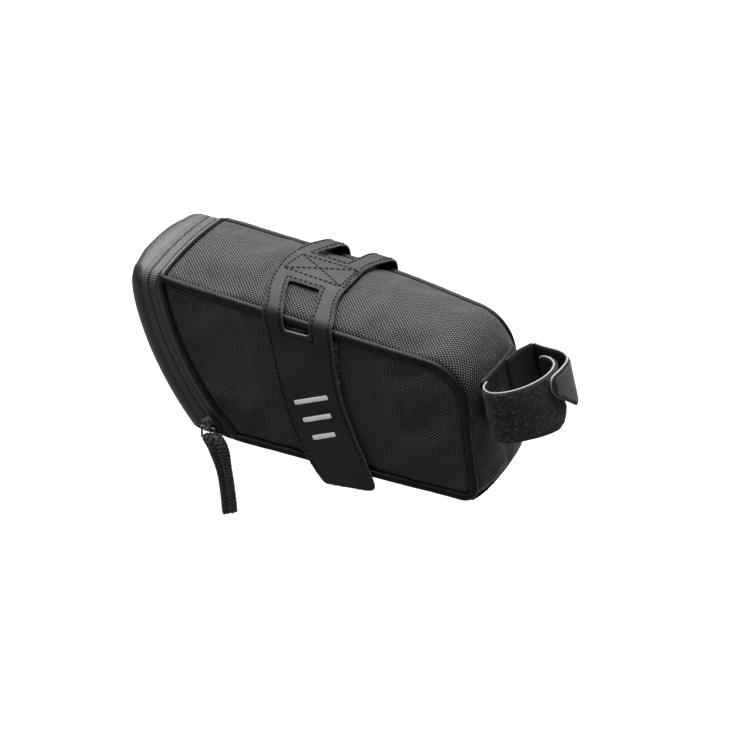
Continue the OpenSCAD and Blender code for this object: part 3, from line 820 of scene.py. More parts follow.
def band(name, profile, ribbed, body, replaced):
    """profile: (radius, height) across the band, from the bag's side to the other."""
    rows = np.array([[band_point(q, r, h) for r, h in profile] for q in band_outline()])
    nu, nv = rows.shape[:2]
    corners = [i * nv + j for i in range(nu - 1) for j in range(nv - 1)]
    faces = [(k, k + nv, k + nv + 1, k + 1) for k in corners]
    which = [0 if ribbed[0] <= r < ribbed[1] else 1 for r, _ in profile[:-1]] * (nu - 1)
    along = path_len(rows[:, nv // 2])
    uv = np.stack([np.tile([r for r, _ in profile], (nu, 1)), np.tile(along[:, None], nv)], -1)
    b = Build()
    b.add(rows, faces, which, uv)
    o = b.make(name, [band_skin, edge_skin])
    solid = o.modifiers.new("thickness", "SOLIDIFY")
    solid.thickness = 0.9 * MM
    solid.offset = -1.0
    solid.use_even_offset = False
    finish_piece(o, body, [replaced])


def rib_profile(r0, r1, base, high, pitch):
    """Rounded cords along a tape between two radii."""
    r = np.arange(r0, r1 + 0.01, pitch / 6)
    return [(float(a), float(base + high * abs(math.sin(math.pi * (a - r0) / pitch)))) for a in r]


BODY_PROFILE = ([(131.4, -1.6), (131.7, -0.9), (132.0, 0.1), (132.5, 0.9), (133.1, 1.25), (133.8, 1.2), (134.5, 0.8),
                 (135.1, 0.35), (135.7, 0.2)] + rib_profile(136.1, 139.1, 0.15, 0.28, 1.0) + [(139.4, 0.1), (139.55, -0.08)])
FLAP_PROFILE = ([(139.66, -0.08), (139.8, 0.1)] + rib_profile(140.1, 143.1, 0.15, 0.28, 1.0) +
                [(143.6, 0.35), (144.4, 0.45), (145.8, 0.45), (147.2, 0.25), (148.6, -0.1), (149.8, -0.65), (150.8, -1.35),
                 (151.5, -2.3), (151.8, -3.4)])
band("body_zip_band", BODY_PROFILE, (136.0, 139.2), "bag", "body_zip_tape")
band("flap_zip_band", FLAP_PROFILE, (140.0, 143.2), "flap", "flap_zip_tape")


def coil_row(name, r, body, replaced):
    """The zip's coil, one closed turn after another along the tape's edge."""
    b = Build()
    places = band_outline(1.3)
    for i, q in enumerate(places[:-1]):
        c = band_point(q, r, -1.9)
        d = unit(band_point(places[i + 1], r, -1.9) - c)
        across = unit(band_point(q, r + 1, -1.9) - c)
        up = unit(np.cross(d, across))
        a = np.linspace(0, 2 * math.pi, 11)
        ring = [c + across * 0.75 * math.cos(k) + up * 0.6 * math.sin(k) + d * (0.45 * k / math.pi - 0.45) for k in a]
        tube(b, ring, 0.22, 5)
    finish_piece(b.make(name, [coil]), body, [replaced])


coil_row("body_coil", 138.25, "bag", "body_zip_coil")
coil_row("flap_coil", 140.95, "flap", "flap_zip_coil")


# ---------------------------------------------------------------- rear wall of the flap
def rear_top(y):
    x = -84.0
    return top_line(x) + 1.6 - 2.8 - 5.4 * np.clip((np.abs(y) - 19) / 11.0, 0, 1) ** 2.2


def rear_bow(y, z):
    return 1.6 * np.clip(1 - (y / 27) ** 2, 0, 1) * ease(z, -45, -6)


def rear_wall():
    w = 29.4
    outline = [(-w, BAND_FOOT), (w, BAND_FOOT)] + [(y, float(rear_top(y))) for y in np.linspace(w, -w, 45)]
    pts, tris = pattern(outline, 2.0)
    y, z = pts.T
    d = edge_distance(outline, pts)
    p = even(pts, seam_x(149.6, z) - 3.0 * (1 - np.exp(-d / 9.0)) - rear_bow(y, z), 0)
    tris = facing(p, tris, (-1, 0, 0))
    p = settle(p, tris, d < 1.5, pressure=1.5, cap=1.2, shrink=-0.02)
    b = Build()
    shell(b, p, tris, CLOTH, uv=pts)
    o = b.make("rear_cloth", [nylon])
    finish_piece(o, "flap", ["rear_panel"])
    loop = resample(outline, 1.5, True)
    loop = np.concatenate([loop, loop[:1]])
    b = Build()
    tube(b, even(loop, seam_x(149.5, loop[:, 1]) - rear_bow(*loop.T), 0), 0.8, 8)
    finish_piece(b.make("rear_edge_binding", [edge_skin]), "flap", [])


rear_wall()


# ---------------------------------------------------------------- base
def base_sheet(name, outline, body, replaced, bend=None):
    pts, tris = pattern(outline, 2.4)
    x, y = pts.T
    sag = 0.35 * (1 - np.exp(-np.maximum(29.5 - np.abs(y), 0) / 6.0))
    p = even(pts, BASE_Z - 0.15 - sag + 0.12 * lumps(even(pts, 0.0, 2), 18.0, 2.0), 2)
    b = Build(True)
    shell(b, p, facing(p, tris, (0, 0, -1)), 1.1, uv=pts, lower=0.3, bulge=0.2, joined=np.abs(x - JOIN_X) < 1e-6)
    finish_piece(b.make(name, [tarpaulin]), body, [replaced], bend)


BASE_HALF = 30.6
HINGE_X = box("base_panel")[0][0] - 0.25
JOIN_X = HINGE_X + 4
STRIP_BACK = box("flap_base_strip")[0][0]
front_curve = [(94.9 - 1.2 * (y / BASE_HALF) ** 2, y) for y in np.linspace(-BASE_HALF, BASE_HALF, 17)]
base_sheet("base_cloth", [(JOIN_X, -BASE_HALF), *front_curve, (JOIN_X, BASE_HALF)], "bag", "base_panel")
base_sheet("flap_base_cloth", [(STRIP_BACK, -BASE_HALF), (JOIN_X, -BASE_HALF), (JOIN_X, BASE_HALF), (STRIP_BACK, BASE_HALF)],
           "flap", "flap_base_strip", ("bag", *((x * MM, 0, BASE_Z * MM) for x in (JOIN_X - 1, HINGE_X - 3))))


# ---------------------------------------------------------------- rail strap
STRAP_T = 1.5
SIDE_Y = 35.95


def strap_curve():
    """Cross-section of the strap's outer face: up the side, round the shoulder and over a low arch to the centre plane."""
    ctrl = [(SIDE_Y, -9.0), (SIDE_Y, -6.4), (35.7, -3.9), (34.3, -1.7), (31.6, -0.35)]
    ctrl += [(y, 4.3 - 0.0048 * y * y) for y in (28.5, 25, 21, 16, 10, 4, 0)]
    return smooth_path(ctrl)


CURVE = strap_curve()
CURVE_A = path_len(CURVE)
Q0 = -9.0


def a_of_y(y):
    return float(np.interp(-y, -CURVE[:, 0], CURVE_A))


def a_of_z(x, z):
    """Pattern height of a point on the vertical part."""
    return z - Q0 + x * SLOPE


def strap_place(side, lift=0.0):
    """Maps the strap's flat pattern (x, a) onto the bag's side and top."""
    def place(pts):
        x, a = np.asarray(pts, float).T
        y, z = at_length(a, CURVE, CURVE_A).T
        e = 0.6
        dy, dz = (at_length(a + e, CURVE, CURVE_A) - at_length(a - e, CURVE, CURVE_A)).T
        below = a < -e
        d = unit(np.stack([np.where(below, 0, dy), np.where(below, 1, dz)], 1))
        ny, nz = d[:, 1], -d[:, 0]
        # the lower part follows the side in and then stands a little off it
        drop = np.maximum(-a, 0)
        out = np.where(a > 0, 0, 0.6 * ease(drop, 58, 80) - 0.5 * np.exp(-((drop - 34) / 22) ** 2))
        arch = lift + (0.9 if side > 0 else 0.0) * np.exp(-((a - 11) / 8) ** 2)
        p = np.stack([x, side * (y + ny * arch + out), np.where(a > 0, z, Q0 + a) - x * SLOPE + nz * arch], 1)
        return p, unit(np.stack([nz * SLOPE, side * ny, nz], 1))
    return place


# edges of the strap: at distances from the centre plane, then at heights on the side
TOP_EDGE = [(0, -20.2, 17.6), (6, -19.5, 17.5), (9.9, -19.1, 17.3), (14, -18.7, 17.3), (18, -18.0, 17.8), (22, -16.8, 18.9),
            (26, -15.2, 20.2), (29, -14.0, 21.4), (32, -13.0, 22.3)]
SIDE_EDGE_REAR = [(-12.2, -6), (-11.6, -9), (-11.0, -12), (-9.9, -17), (-8.6, -24), (-6.6, -35), (-4.1, -45), (-1.4, -54),
                  (1.9, -63), (6.4, -72), (15.2, -84.2), (19.8, -89.2)]
SIDE_EDGE_FRONT = [(23.0, -6), (23.4, -9), (24.1, -15), (24.9, -25), (26.6, -35), (29.2, -45), (32.3, -53), (36.0, -61.5),
                   (41.0, -72), (47.4, -86.2)]
WINDOW_IN = 13.8
WINDOW_TOP = [(13.8, -9.6, 6.8), (18, -8.4, 7.8), (22, -7.1, 8.8), (27, -5.3, 9.9), (32, -3.4, 10.9)]
WINDOW_SIDE = [(-6, -1.9, 11.7), (-10.4, -1.2, 12.2)]
JOIN_Y = 22.0


def side_line(points):
    return [(x, a_of_z(x, z)) for x, z in points]


def top_points(column, lo, hi, table):
    """One edge of a table between two distances from the centre plane: column 1 is the rear edge, 2 the front."""
    y = [row[0] for row in table]
    at = [row[column] for row in table]
    return [(float(np.interp(v, y, at)), a_of_y(v)) for v in [lo, *(v for v in y if lo < v < hi), hi]]


def shifted(line, dx):
    return [(x + dx, a) for x, a in line]


def grooved(p, n, pts, rows, depth):
    """The sewn rows pull the surface down a little."""
    near = np.min([edge_distance(r, pts, closed=False) for r in rows], axis=0)
    return p - n * (depth * np.exp(-(near / 0.8) ** 2))[:, None]


def strap_piece(name, outline, radii, side, joined_a, lines):
    place = strap_place(side)
    pts, tris, p, n = laid(rounded(outline, radii, 5), STRAP_STEP, place)
    joined = np.any([np.abs(pts[:, 1] - a) < 1e-4 for a in joined_a], axis=0)
    b = Build()
    p = grooved(p, n, pts, lines, 0.16) + n * (0.10 * lumps(p, 9.0, 5.0))[:, None] * ~joined[:, None]
    shell(b, p, tris, STRAP_T, (0, 1, 2), pts, lower=0.32, bulge=0.28, joined=joined, normals=n)
    for line in lines:
        stitches(b, line, place, 3, length=1.9, gap=0.85, width=0.44)
    return b.make(name, STRAP_MATS)


STRAP_MATS = [strap_skin, strap_back, strap_edge, thread]
STRAP_STEP = 1.25
PAD_HALF = 9.9


def rail_pad():
    """Centre of the strap, sewn down with a crossed box."""
    def place(pts):
        a = np.interp(np.abs(pts[:, 1]), [0, PAD_HALF], [a_of_y(0), a_of_y(PAD_HALF)])
        p, n = strap_place(1)(np.stack([pts[:, 0], a], 1))
        p[:, 1] = pts[:, 1]
        n[:, 1] = np.where(pts[:, 1] < 0, -1, 1) * np.abs(n[:, 1])
        return p, unit(n)

    (_, rear, fore), (_, rear_end, fore_end) = TOP_EDGE[0], TOP_EDGE[2]
    half = [(rear_end, -PAD_HALF), (rear + 0.2, -1.4), (fore, -1.4), (fore_end, -PAD_HALF)]
    outline = half[:2] + [(x, -y) for x, y in half[1::-1] + half[:1:-1]] + half[2:]
    pts, tris, p, n = laid(outline, STRAP_STEP, place)
    cross = [(-15.6, -7.0), (14.4, -8.0), (15.2, 8.8), (-13.6, 8.4)]
    rows = [cross + cross[:1], cross[::2], cross[1::2],
            [(-17.4, -9.2), (-18.4, 0), (-17.4, 9.2)], [(16.0, -9.2), (16.2, 0), (16.0, 9.2)]]
    joined = np.abs(np.abs(pts[:, 1]) - PAD_HALF) < 1e-4
    b = Build()
    p = grooved(p, n, pts, rows, 0.2)
    shell(b, p, tris, STRAP_T, (0, 1, 2), pts, lower=0.32, bulge=0.28, joined=joined, normals=n)
    for r in rows:
        stitches(b, r, place, 3, length=1.8, gap=0.8, width=0.40)
    finish_piece(b.make("rail_pad", STRAP_MATS), "bag", ["rail_strap_pad"])


rail_pad()


def wing(side):
    """The upper part with the top half of its window, then the tail with the rest; stitches follow every edge."""
    name = SIDES[side]
    hem, inner = 1.7, 1.6

    def across(y):
        return 0, side * y * MM, 0

    rear, fore = (top_points(k, PAD_HALF, JOIN_Y, TOP_EDGE) for k in (1, 2))
    hole_r, hole_f = (top_points(k, WINDOW_IN, JOIN_Y, WINDOW_TOP) for k in (1, 2))
    upper = rear + hole_r[::-1] + hole_f + fore[::-1]
    radii = [0] * (len(rear) + len(hole_r) - 1) + [2.0, 2.0] + [0] * (len(hole_f) - 1 + len(fore))
    seam_r, seam_f = shifted(hole_r[::-1], -inner), shifted(hole_f, inner)
    seam_r[-1] = (seam_r[-1][0], seam_r[-1][1] + inner)
    seam_f[0] = (seam_f[0][0], seam_f[0][1] + inner)
    lines = [shifted(rear, hem), shifted(fore, -hem), seam_r + seam_f]
    o = strap_piece(f"{name}_wing_top", upper, radii, side, (a_of_y(PAD_HALF), a_of_y(JOIN_Y)), lines)
    finish_piece(o, f"{name}_wing", [f"{name}_wing_upper"], ("bag", across(9.9), across(13.5)))

    rear, fore = (top_points(k, JOIN_Y, 32.0, TOP_EDGE) + side_line(edge)
                  for k, edge in ((1, SIDE_EDGE_REAR), (2, SIDE_EDGE_FRONT)))
    hole_r, hole_f = (top_points(k, JOIN_Y, 32.0, WINDOW_TOP) + side_line([(row[k], row[0]) for row in WINDOW_SIDE])
                      for k in (1, 2))
    tail = rear + fore[::-1] + hole_f + hole_r[::-1]
    radii = [0] * (len(rear) - 1) + [3.5, 4.5] + [0] * (len(fore) + len(hole_f) - 2) + [2.2, 2.2] + [0] * (len(hole_r) - 1)
    low = min(a for _, a in hole_r) - 1.8
    around = shifted(hole_r[:-1] + [(hole_r[-1][0], low)], -inner) + shifted([(hole_f[-1][0], low)] + hole_f[-2::-1], inner)
    lines = [shifted(rear, hem)[:-1], shifted(fore, -hem)[:-1], around]
    o = strap_piece(f"{name}_wing_side", tail, radii, side, (a_of_y(JOIN_Y),), lines)
    finish_piece(o, f"{name}_tail", [f"{name}_wing_tail"], (f"{name}_wing", across(25.5), across(33.0)))


both(wing)


def edge_at(edge, z):
    """Where an edge of the strap is at height z on the bag's side."""
    return float(np.interp(z, [q[1] for q in edge[::-1]], [q[0] for q in edge[::-1]]))


def bars(side):
    """Three plain slanted bars of reflective film."""
    name = SIDES[side]
    high = box(f"{name}_reflective_bars")[1][2] - 6.5
    b = Build()
    along = np.array([math.cos(BAR_SLANT), math.sin(BAR_SLANT)])
    up = np.array([-along[1], along[0]])
    for i in range(3):
        half, z = 9.5 - 1.5 * i, high - 9.0 * i
        middle = np.array([(edge_at(SIDE_EDGE_REAR, z) + edge_at(SIDE_EDGE_FRONT, z)) / 2, z])
        corners = [middle + along * u * half + up * v * 1.2 for u, v in ((-1, -1), (1, -1), (1, 1), (-1, 1))]
        pts, tris, p, n = laid(rounded(side_line(corners), [0.7] * 4, 4), 0.8, strap_place(side, 0.12))
        shell(b, p, tris, 0.3, uv=pts, lower=0.05, bulge=0.02, normals=n)
    finish_piece(b.make(f"{name}_bars", [reflective]), f"{name}_tail", [f"{name}_reflective_bars"])


BAR_SLANT = rad(24)
both(bars)


# ---------------------------------------------------------------- fuzz: loop patches and hook patches
def fuzz(b, p, n, count, length, width, seed):
    """Short bent fibres, each a narrow folded ribbon, over a surface's points."""
    rng = np.random.default_rng(seed)
    which = rng.integers(0, len(p), count)
    c, up = p[which], n[which]
    a = rng.normal(size=(count, 3))
    d = unit(a - up * (a * up).sum(1, keepdims=True))
    side = np.cross(d, up) * width / 2
    size = length * rng.uniform(0.6, 1.3, (count, 1))
    c = c + a * 0.25
    c = c - up * ((c - p[which]) * up).sum(1, keepdims=True)
    rows = [c - up * 0.1, c + d * size * 0.35 + up * size * 0.5, c + d * size * 0.85 + up * size * 0.35]
    v = np.stack([rows[0] - side, rows[0] + side, rows[1] + side, rows[1] - side, rows[2] + side, rows[2] - side], 1)
    b.add(v, [(k + i, k + j, k + l, k + m) for k in range(0, 6 * count, 6) for i, j, l, m in ((0, 1, 2, 3), (3, 2, 4, 5))])


def side_patch(side):
    name = SIDES[side]
    low = -73
    rear = [(edge_at(SIDE_EDGE_REAR, z) + 7, z) for z in np.linspace(-11, low, 12)]
    fore = [(edge_at(SIDE_EDGE_FRONT, z) + 1.6 * (1 - k) - 1.5 * k, z)
            for k, z in zip(np.linspace(0, 1, 12), np.linspace(-10.6, low, 12))]
    for line in (rear, fore):
        line[0] = (line[0][0], top_line(line[0][0]) - 2.7)
    pts, tris = pattern(rear[::-1] + fore, 1.3)
    p = even(pts, side * (33.3 + 0.18 * lumps(even(pts, 0.0, 1), 1.3, 9.0)), 1)
    b = Build()
    n = shell(b, p, facing(p, tris, (0, side, 0)), 0.7, (0, 1, 1), pts, lower=0.15, bulge=0.1)
    fuzz(b, p, n, 5200, 0.5, 0.09, 11)
    # The pile here is the lightened copy: painted light against the strap's shadow.
    finish_piece(b.make(f"{name}_loop_patch", [lightened_patch_pile, strap_back]), "bag", [f"{name}_side_loop"])


def tail_hook(side):
    name = SIDES[side]
    inner = strap_place(side, -STRAP_T)

    def place(pts):
        p, n = inner(pts)
        return p - n * 0.4, -n

    outline = side_line(rounded([(4.5, -38), (8.5, -71), (33.5, -71), (26, -38)], [2] * 4))
    pts, tris, p, n = laid(outline, 1.6, place)
    b = Build()
    shell(b, p, tris, 0.4, uv=pts, lower=0.05, bulge=0.0, normals=n)
    hooks(b, p, n, 0.35)
    finish_piece(b.make(f"{name}_tail_hook", [hook]), f"{name}_tail", [f"{name}_wing_hook"])


def hooks(b, p, n, high):
    """Small stubby hooks, one at every other point of a surface."""
    ring = ((-1, -1), (1, -1), (1, 1), (-1, 1))
    for c, up in zip(p[::2], n[::2]):
        t = unit(np.cross(up, [0.3, 0.2, 1.0]))
        w = np.cross(up, t)
        top = c + up * high + t * 0.2
        b.add([c + t * i * 0.12 + w * j * 0.12 for i, j in ring] + [top + t * i * 0.1 + w * j * 0.1 for i, j in ring],
              [(0, 1, 5, 4), (1, 2, 6, 5), (2, 3, 7, 6), (3, 0, 4, 7), (4, 5, 6, 7)])


for s in SIDES:
    side_patch(s)
    tail_hook(s)


# ---------------------------------------------------------------- seatpost strap
POST_AT = np.array([94.0, -35.0])
LEAN = rad(14)
POST_W = 25.0
H = POST_W / 2
WEB = 0.8
LOOP = smooth_path([[3.2, -17], [3.6, -24], [10, -27.5], [20.5, -20.5], [27.9, -5.5], [27.8, 7], [22, 12.6], [16.5, 12]])
TONGUE = smooth_path([[3.2, 4], [4.5, 13], [8.75, 21.95]])
HOOKED = smooth_path([[9.1, 22.4], [15, 20.7], [25, 19.7], [31.4, 14.5], [31.8, 3], [30.2, -6.5]])


def leaned(u, y, w):
    """A point of the leaned seatpost strap: u forward, y across, w up along the lean."""
    sag = 0.16 * np.maximum(u - 3.0, 0)
    return np.stack([POST_AT[0] + u * math.cos(LEAN) - w * math.sin(LEAN), y + 0 * u,
                     POST_AT[1] + u * math.sin(LEAN) + w * math.cos(LEAN) - sag], -1)


def post_place(path, side, lift=0.0):
    """Maps (length along the path, height) to the strap's face on one side of the path (1 left, -1 right)."""
    length = path_len(path)

    def place(pts):
        s, w = np.asarray(pts, float).T
        n = left_of(heading(s, path, length, 0.5)) * side
        u, y = (at_length(s, path, length) + n * (WEB + lift)).T
        p = leaned(u, y, w)
        return p, unit(leaned(u + n[:, 0], y + n[:, 1], w) - p)
    return place


def post_strap(name, path, outline, radii, body, replaced, bend=None, edge=post_edge):
    pts, tris, p, n = laid(rounded(outline, radii), 1.2, post_place(path, -1))
    b = Build()
    shell(b, p, tris, 2 * WEB, (0, 1, 2), pts, lower=0.3, bulge=0.25, normals=n, plain=pts[:, 0] < 1.5)
    finish_piece(b.make(name, [strap_skin, strap_skin, edge]), body, [replaced], bend)


def bent(u0, u1):
    """A bend from the bag, between two places along the leaned strap's forward direction, in metres."""
    return "bag", *(tuple(leaned(np.array([u]), np.array([0.0]), np.array([0.0]))[0] * MM) for u in (u0, u1))


L_LOOP, L_TONGUE, L_HOOK = (path_len(q)[-1] for q in (LOOP, TONGUE, HOOKED))
LOOP_BEND = bent(3.0, 9.0)
LOOP_EDGE = [(0, -H + 2), (8, -H - 0.8), (26, -H - 1.4), (44, -H - 3.8), (58, -H - 1), (L_LOOP, -H + 1), (L_LOOP, H), (0, H)]
HOOK_EDGE = [(0, -H), (L_HOOK - 21, -H + 1.5), (L_HOOK - 17.5, -H + 2.0), (L_HOOK - 3.0, 1.6), (L_HOOK, 6.0), (L_HOOK - 1, H),
             (0, H)]
post_strap("seatpost_loop", LOOP, LOOP_EDGE, [1, 3, 0, 4, 4, 3, 3, 1],
           "loop_arm", "seatpost_loop_arm", LOOP_BEND)
post_strap("seatpost_inner_tongue", TONGUE, [(0, -H), (L_TONGUE, -H), (L_TONGUE, H), (0, H)], [1, 1, 1, 1],
           "bag", "seatpost_tongue", edge=strap_back)
post_strap("seatpost_hook_arm_cloth", HOOKED, HOOK_EDGE, [1, 0, 1, 4, 3, 4, 1],
           "hook_arm", "seatpost_hook_arm", bent(9.0, 15.0))


def pile_skin():
    """Brushed loops over the outer face of the loop arm."""
    s0, s1, w = 7.5, L_LOOP - 4.5, H - 0.6
    pts, tris, p, n = laid(rounded([(s0, -w), (s1, -w), (s1, w), (s0, w)], [1] * 4), 0.9, post_place(LOOP, -1, 0.35))
    p = p + n * (0.32 * lumps(p, 1.1, 6.0) + 0.1)[:, None]
    b = Build()
    shell(b, p, tris, 0.5, uv=pts, lower=0.2, bulge=0.15, normals=n)
    fuzz(b, p, n, 9000, 0.75, 0.1, 23)
    finish_piece(b.make("seatpost_pile", [pile]), "loop_arm", ["seatpost_loop_pile"], LOOP_BEND)


def hook_skin():
    s0, s1 = 20.0, L_HOOK - 3.0
    outline = rounded([(s0, -H + 3), (s1 - 14, -H + 3), (s1, 2.5), (s1, H - 1.5), (s0, H - 1.5)], [1, 2, 2, 2, 1])
    pts, tris, p, n = laid(outline, 1.2, post_place(HOOKED, 1, 0.3))
    b = Build()
    shell(b, p, tris, 0.3, uv=pts, lower=0.05, bulge=0.0, normals=n)
    hooks(b, p, n, 0.3)
    finish_piece(b.make("seatpost_hooks", [hook]), "hook_arm", ["seatpost_hook_patch"])


def anchor():
    """Sewn-down root of the seatpost strap on the bag's front."""
    half = 18.5

    def place(pts, lift=0.0):
        y, w = pts.T
        u = 2.3 - 0.9 * (y / half) ** 2 + lift
        p = leaned(u, y, w)
        return p, unit(leaned(u + 1, y + 1.8 * y / half ** 2, w) - p)

    pts, tris, p, n = laid(rounded([(-half, -H), (half, -H), (half, H), (-half, H)], [1.5] * 4), 1.3, place)
    b = Build()
    shell(b, p, tris, 1.8, (0, 1, 2), pts, lower=0.3, bulge=0.2, normals=n)
    near, far, w = 6, 16.5, 10.5
    sewn = [(-far, -w), (-near, -w), (-near, w), (-far, w), (-far, -w)]
    rows = [sewn, [sewn[0], sewn[2]], [sewn[1], sewn[3]], [(-y, v) for y, v in sewn],
            [(far, -w), (near, w)], [(near, -w), (far, w)]]
    for r in rows:
        stitches(b, r, lambda q: place(q, -0.02), 3, length=1.8, gap=0.8, width=0.26)
    # The rim takes the dark backing finish, not a lighter cut-edge colour: painted shade, as the root's edges lie in
    # shadow.
    o = b.make("seatpost_root", [strap_skin, strap_back, strap_back, thread])
    finish_piece(o, "bag", ["seatpost_anchor"])


pile_skin()
hook_skin()
anchor()


# ---------------------------------------------------------------- zip pull: a doubled braided cord
def braided(b, centre, radius, strand, turns, strands=4):
    """Two sets of strands that wind opposite ways round a cord and pass over and under each other."""
    s, n = frames(centre, (0, 0, 1))
    k = np.linspace(0, 1, len(centre))
    for way in (1, -1):
        for i in range(strands):
            a = way * 2 * math.pi * turns * k + 2 * math.pi * i / strands
            over = 1 + 0.13 * way * np.sin(strands * 2 * math.pi * turns * k + way * math.pi * 0.5)
            r = radius[:, None] * over[:, None]
            tube(b, centre + r * (s * np.cos(a)[:, None] + n * np.sin(a)[:, None] * 0.85), strand, 5)
    tube(b, centre, radius * 0.85, 8)


def zip_pull():
    """One braid doubled through the ring: two lengths lie side by side and hang a little forward."""
    lo, hi = box("zip_pull_cord")
    middle = (lo + hi) / 2
    bar = box("zip_pull_ring")[0][2] + 0.6
    low = lo[2] + 1.2
    b = Build()
    for off in (-1, 1):
        path = [(0.3, 0.4, bar + 0.9), (0.9 + off, -2.0, bar + 2.0), (4.4 + 2.4 * off, -3.0, bar + 2.4 + off),
                (6.8 + 2.6 * off, -2.8, bar - 1.5), (8.6 + 2.1 * off, -1.6, bar - 12.0), (9.6 + 1.85 * off, -0.8, bar - 22.0),
                (10.4 + 1.85 * off, -0.7, low + 8.0 + 0.8 * off), (11.0 + 1.85 * off, -0.8, low + 0.9 * off)]
        c = resample(smooth_path(np.array(path) + [middle[0], middle[1], 0]), 0.42)
        k = np.linspace(0, 1, len(c))
        r = 1.3 + 1.5 * ease(k, 0.03, 0.2) - 0.8 * ease(k, 0.26, 0.55) - 0.12 * ease(k, 0.97, 1.0)
        braided(b, c, r, 0.46, path_len(c)[-1] / 7.5)
    finish_piece(b.make("zip_pull_braid", [braid]), "pull_cord", ["zip_pull_cord"])


zip_pull()


# ---------------------------------------------------------------- rear light loop, pocket
def light_loop():
    gap, w = 6.0, 10.0
    a0, a1 = rad(16), rad(27)
    flat = REAR_R + 2.9
    out = REAR_R + 0.15 + gap + 1.3
    mid = [(flat, a0 - rad(2.2)), (flat, a0), (flat + 1.5, a0 + rad(0.3)), (out, a0 + rad(1.2)), (out, (a0 + a1) / 2),
           (out, a1 - rad(1.2)), (flat + 1.5, a1 - rad(0.3)), (flat, a1), (flat, a1 + rad(2.2))]
    path = smooth_path([(SEAM_X - r * math.cos(a), SEAM_Z - r * math.sin(a)) for r, a in mid])
    length = path_len(path)

    def place(pts, lift=0.0):
        s, y = pts.T
        n = left_of(heading(s, path, length, 0.5))
        n = n * np.where(n[:, 0] < 0, 1, -1)[:, None]
        return even(at_length(s, path, length) + n * lift, y, 1), even(n, 0.0, 1)

    outline = rounded([(0, -w), (length[-1], -w), (length[-1], w), (0, w)], [0.8] * 4)
    pts, tris, p, n = laid(outline, 1.2, place)
    b = Build()
    shell(b, p, tris, 1.2, uv=pts, lower=0.2, bulge=0.15, normals=n)
    step = 0.55
    for at in (2.2, length[-1] - 2.2):
        zig = [(at + (0.9 if i % 2 else -0.9), -w + 1 + i * step) for i in range(int((2 * w - 2) / step) + 1)]
        stitches(b, zig, lambda q: place(q, 0.05), 1, length=1.5, gap=0.1, width=0.25)
    finish_piece(b.make("light_loop_webbing", [webbing, thread]), "flap", ["rear_light_loop"])


light_loop()


def pocket():
    """A knitted net, drawn as two sets of slanted strands, and its bound upper edge."""
    lo, hi = box("mesh_pocket")
    wide, high = hi[0] - lo[0], hi[2] - lo[2]
    b = Build(True)
    cell = 2.4
    nx, nz = int(wide / cell), int(high / cell)
    y = (lo[1] + hi[1]) / 2
    for i in range(-nz, nx + 1):
        for way in (1, -1):
            x0 = lo[0] + (i if way > 0 else i + nz) * cell
            line = []
            for k in range(nz + 1):
                x = x0 + way * k * cell
                if lo[0] - 0.01 <= x <= hi[0] + 0.01:
                    belly = 0.9 * math.sin(math.pi * (x - lo[0]) / wide) * (k / nz) ** 2
                    line.append((x, y + 0.15 * way - belly, lo[2] + k * high / nz))
            if len(line) > 1:
                tube(b, line, 0.24, 4)
    finish_piece(b.make("mesh_pocket_net", [mesh_cloth]), "bag", ["mesh_pocket"])
    lo, hi = box("mesh_pocket_binding")
    k = np.linspace(0, 1, 60)
    path = (lo + hi) / 2 + np.outer(k - 0.5, [hi[0] - lo[0], 0, 0]) - np.outer(0.9 * np.sin(math.pi * k), [0, 1, 0])
    b = Build(True)
    tube(b, path, 1.9, 12, squash=0.4, up=(0, 1, 0))
    finish_piece(b.make("pocket_binding", [binding]), "bag", ["mesh_pocket_binding"])


pocket()


# ---------------------------------------------------------------- finishes on the CAD nodes that stay
def finish_node(name, mat, bevel=0.0):
    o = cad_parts[name]
    o.data.materials.clear()
    o.data.materials.append(mat)
    if bevel:
        m = o.modifiers.new("edge", "BEVEL")
        m.width = bevel * MM
        m.segments = 2
        m.limit_method = "ANGLE"
        m.angle_limit = rad(40)


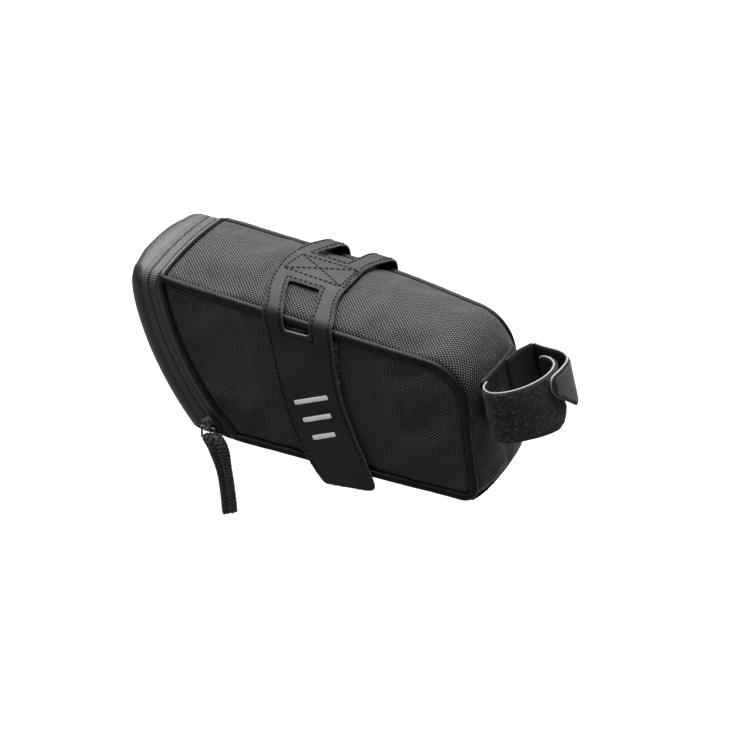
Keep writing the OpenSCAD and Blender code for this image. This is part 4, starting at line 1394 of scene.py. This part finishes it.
finish_node("rear_board", foam)
for n, e in (("zip_slider", 0.18), ("zip_pull_ring", 0.0), ("zip_end_stops", 0.12)):
    finish_node(n, nickel, e)


# ---------------------------------------------------------------- floor, light and camera
def area(name, at, to, size, power):
    light = bpy.data.lights.new(name, "AREA")
    light.shape = "RECTANGLE"
    light.size, light.size_y = size
    light.energy = power
    o = bpy.data.objects.new(name, light)
    scene.collection.objects.link(o)
    o.location = at
    aimed(o, Vector(at) - Vector(to))


def aimed(o, back):
    """Turns a light or camera to look along the reverse of a direction."""
    o.rotation_mode = "QUATERNION"
    o.rotation_quaternion = back.to_track_quat("Z", "Y")


def studio():
    m, t, p = nodes_of("studio_floor", Emission_Strength=1.14, Roughness=0.9)
    d = object_noise(t, 3.0, 2.0)
    for socket, low, high in (("Base Color", 0.05, 0.07), ("Emission Color", 0.86, 0.90)):
        t.links.new(ramp(t, d, [(0.0, grey(low)), (1.0, grey(high))]), p.inputs[socket])
    b = Build()
    e, floor = 9000.0, -125.0
    b.add([(-e, -e, floor), (e, -e, floor), (e, e, floor), (-e, e, floor)], [(0, 1, 2, 3)])
    b.make("floor", [m], smooth=False)
    world = bpy.data.worlds.new("studio")
    world.use_nodes = True
    sky = world.node_tree.nodes["Background"].inputs
    sky[0].default_value = (1, 1, 1, 1)
    sky[1].default_value = 0.15
    scene.world = world
    centre = (0.0, 0.0, -0.04)
    area("overhead", (-0.1, 0.2, 1.5), centre, (1.4, 1.3), 235)
    area("key", (-0.55, 1.25, 1.15), centre, (1.9, 1.1), 125)
    area("front_fill", (-1.1, -1.2, 1.2), centre, (0.6, 0.6), 22)


def point_camera():
    """A long lens from the right, the front and above."""
    camera = bpy.data.cameras.new("camera")
    camera.sensor_width = 36.0
    camera.lens = 161.7
    camera.clip_start, camera.clip_end = 0.05, 60
    view = bpy.data.objects.new("camera", camera)
    scene.collection.objects.link(view)
    scene.camera = view
    back = Vector((0.3718, -0.7622, 0.5299)).normalized()
    view.location = Vector((27.0, 3.0, -48.6)) * MM + back * 1.6
    aimed(view, back)
    scene.view_settings.view_transform = "Standard"


studio()
point_camera()
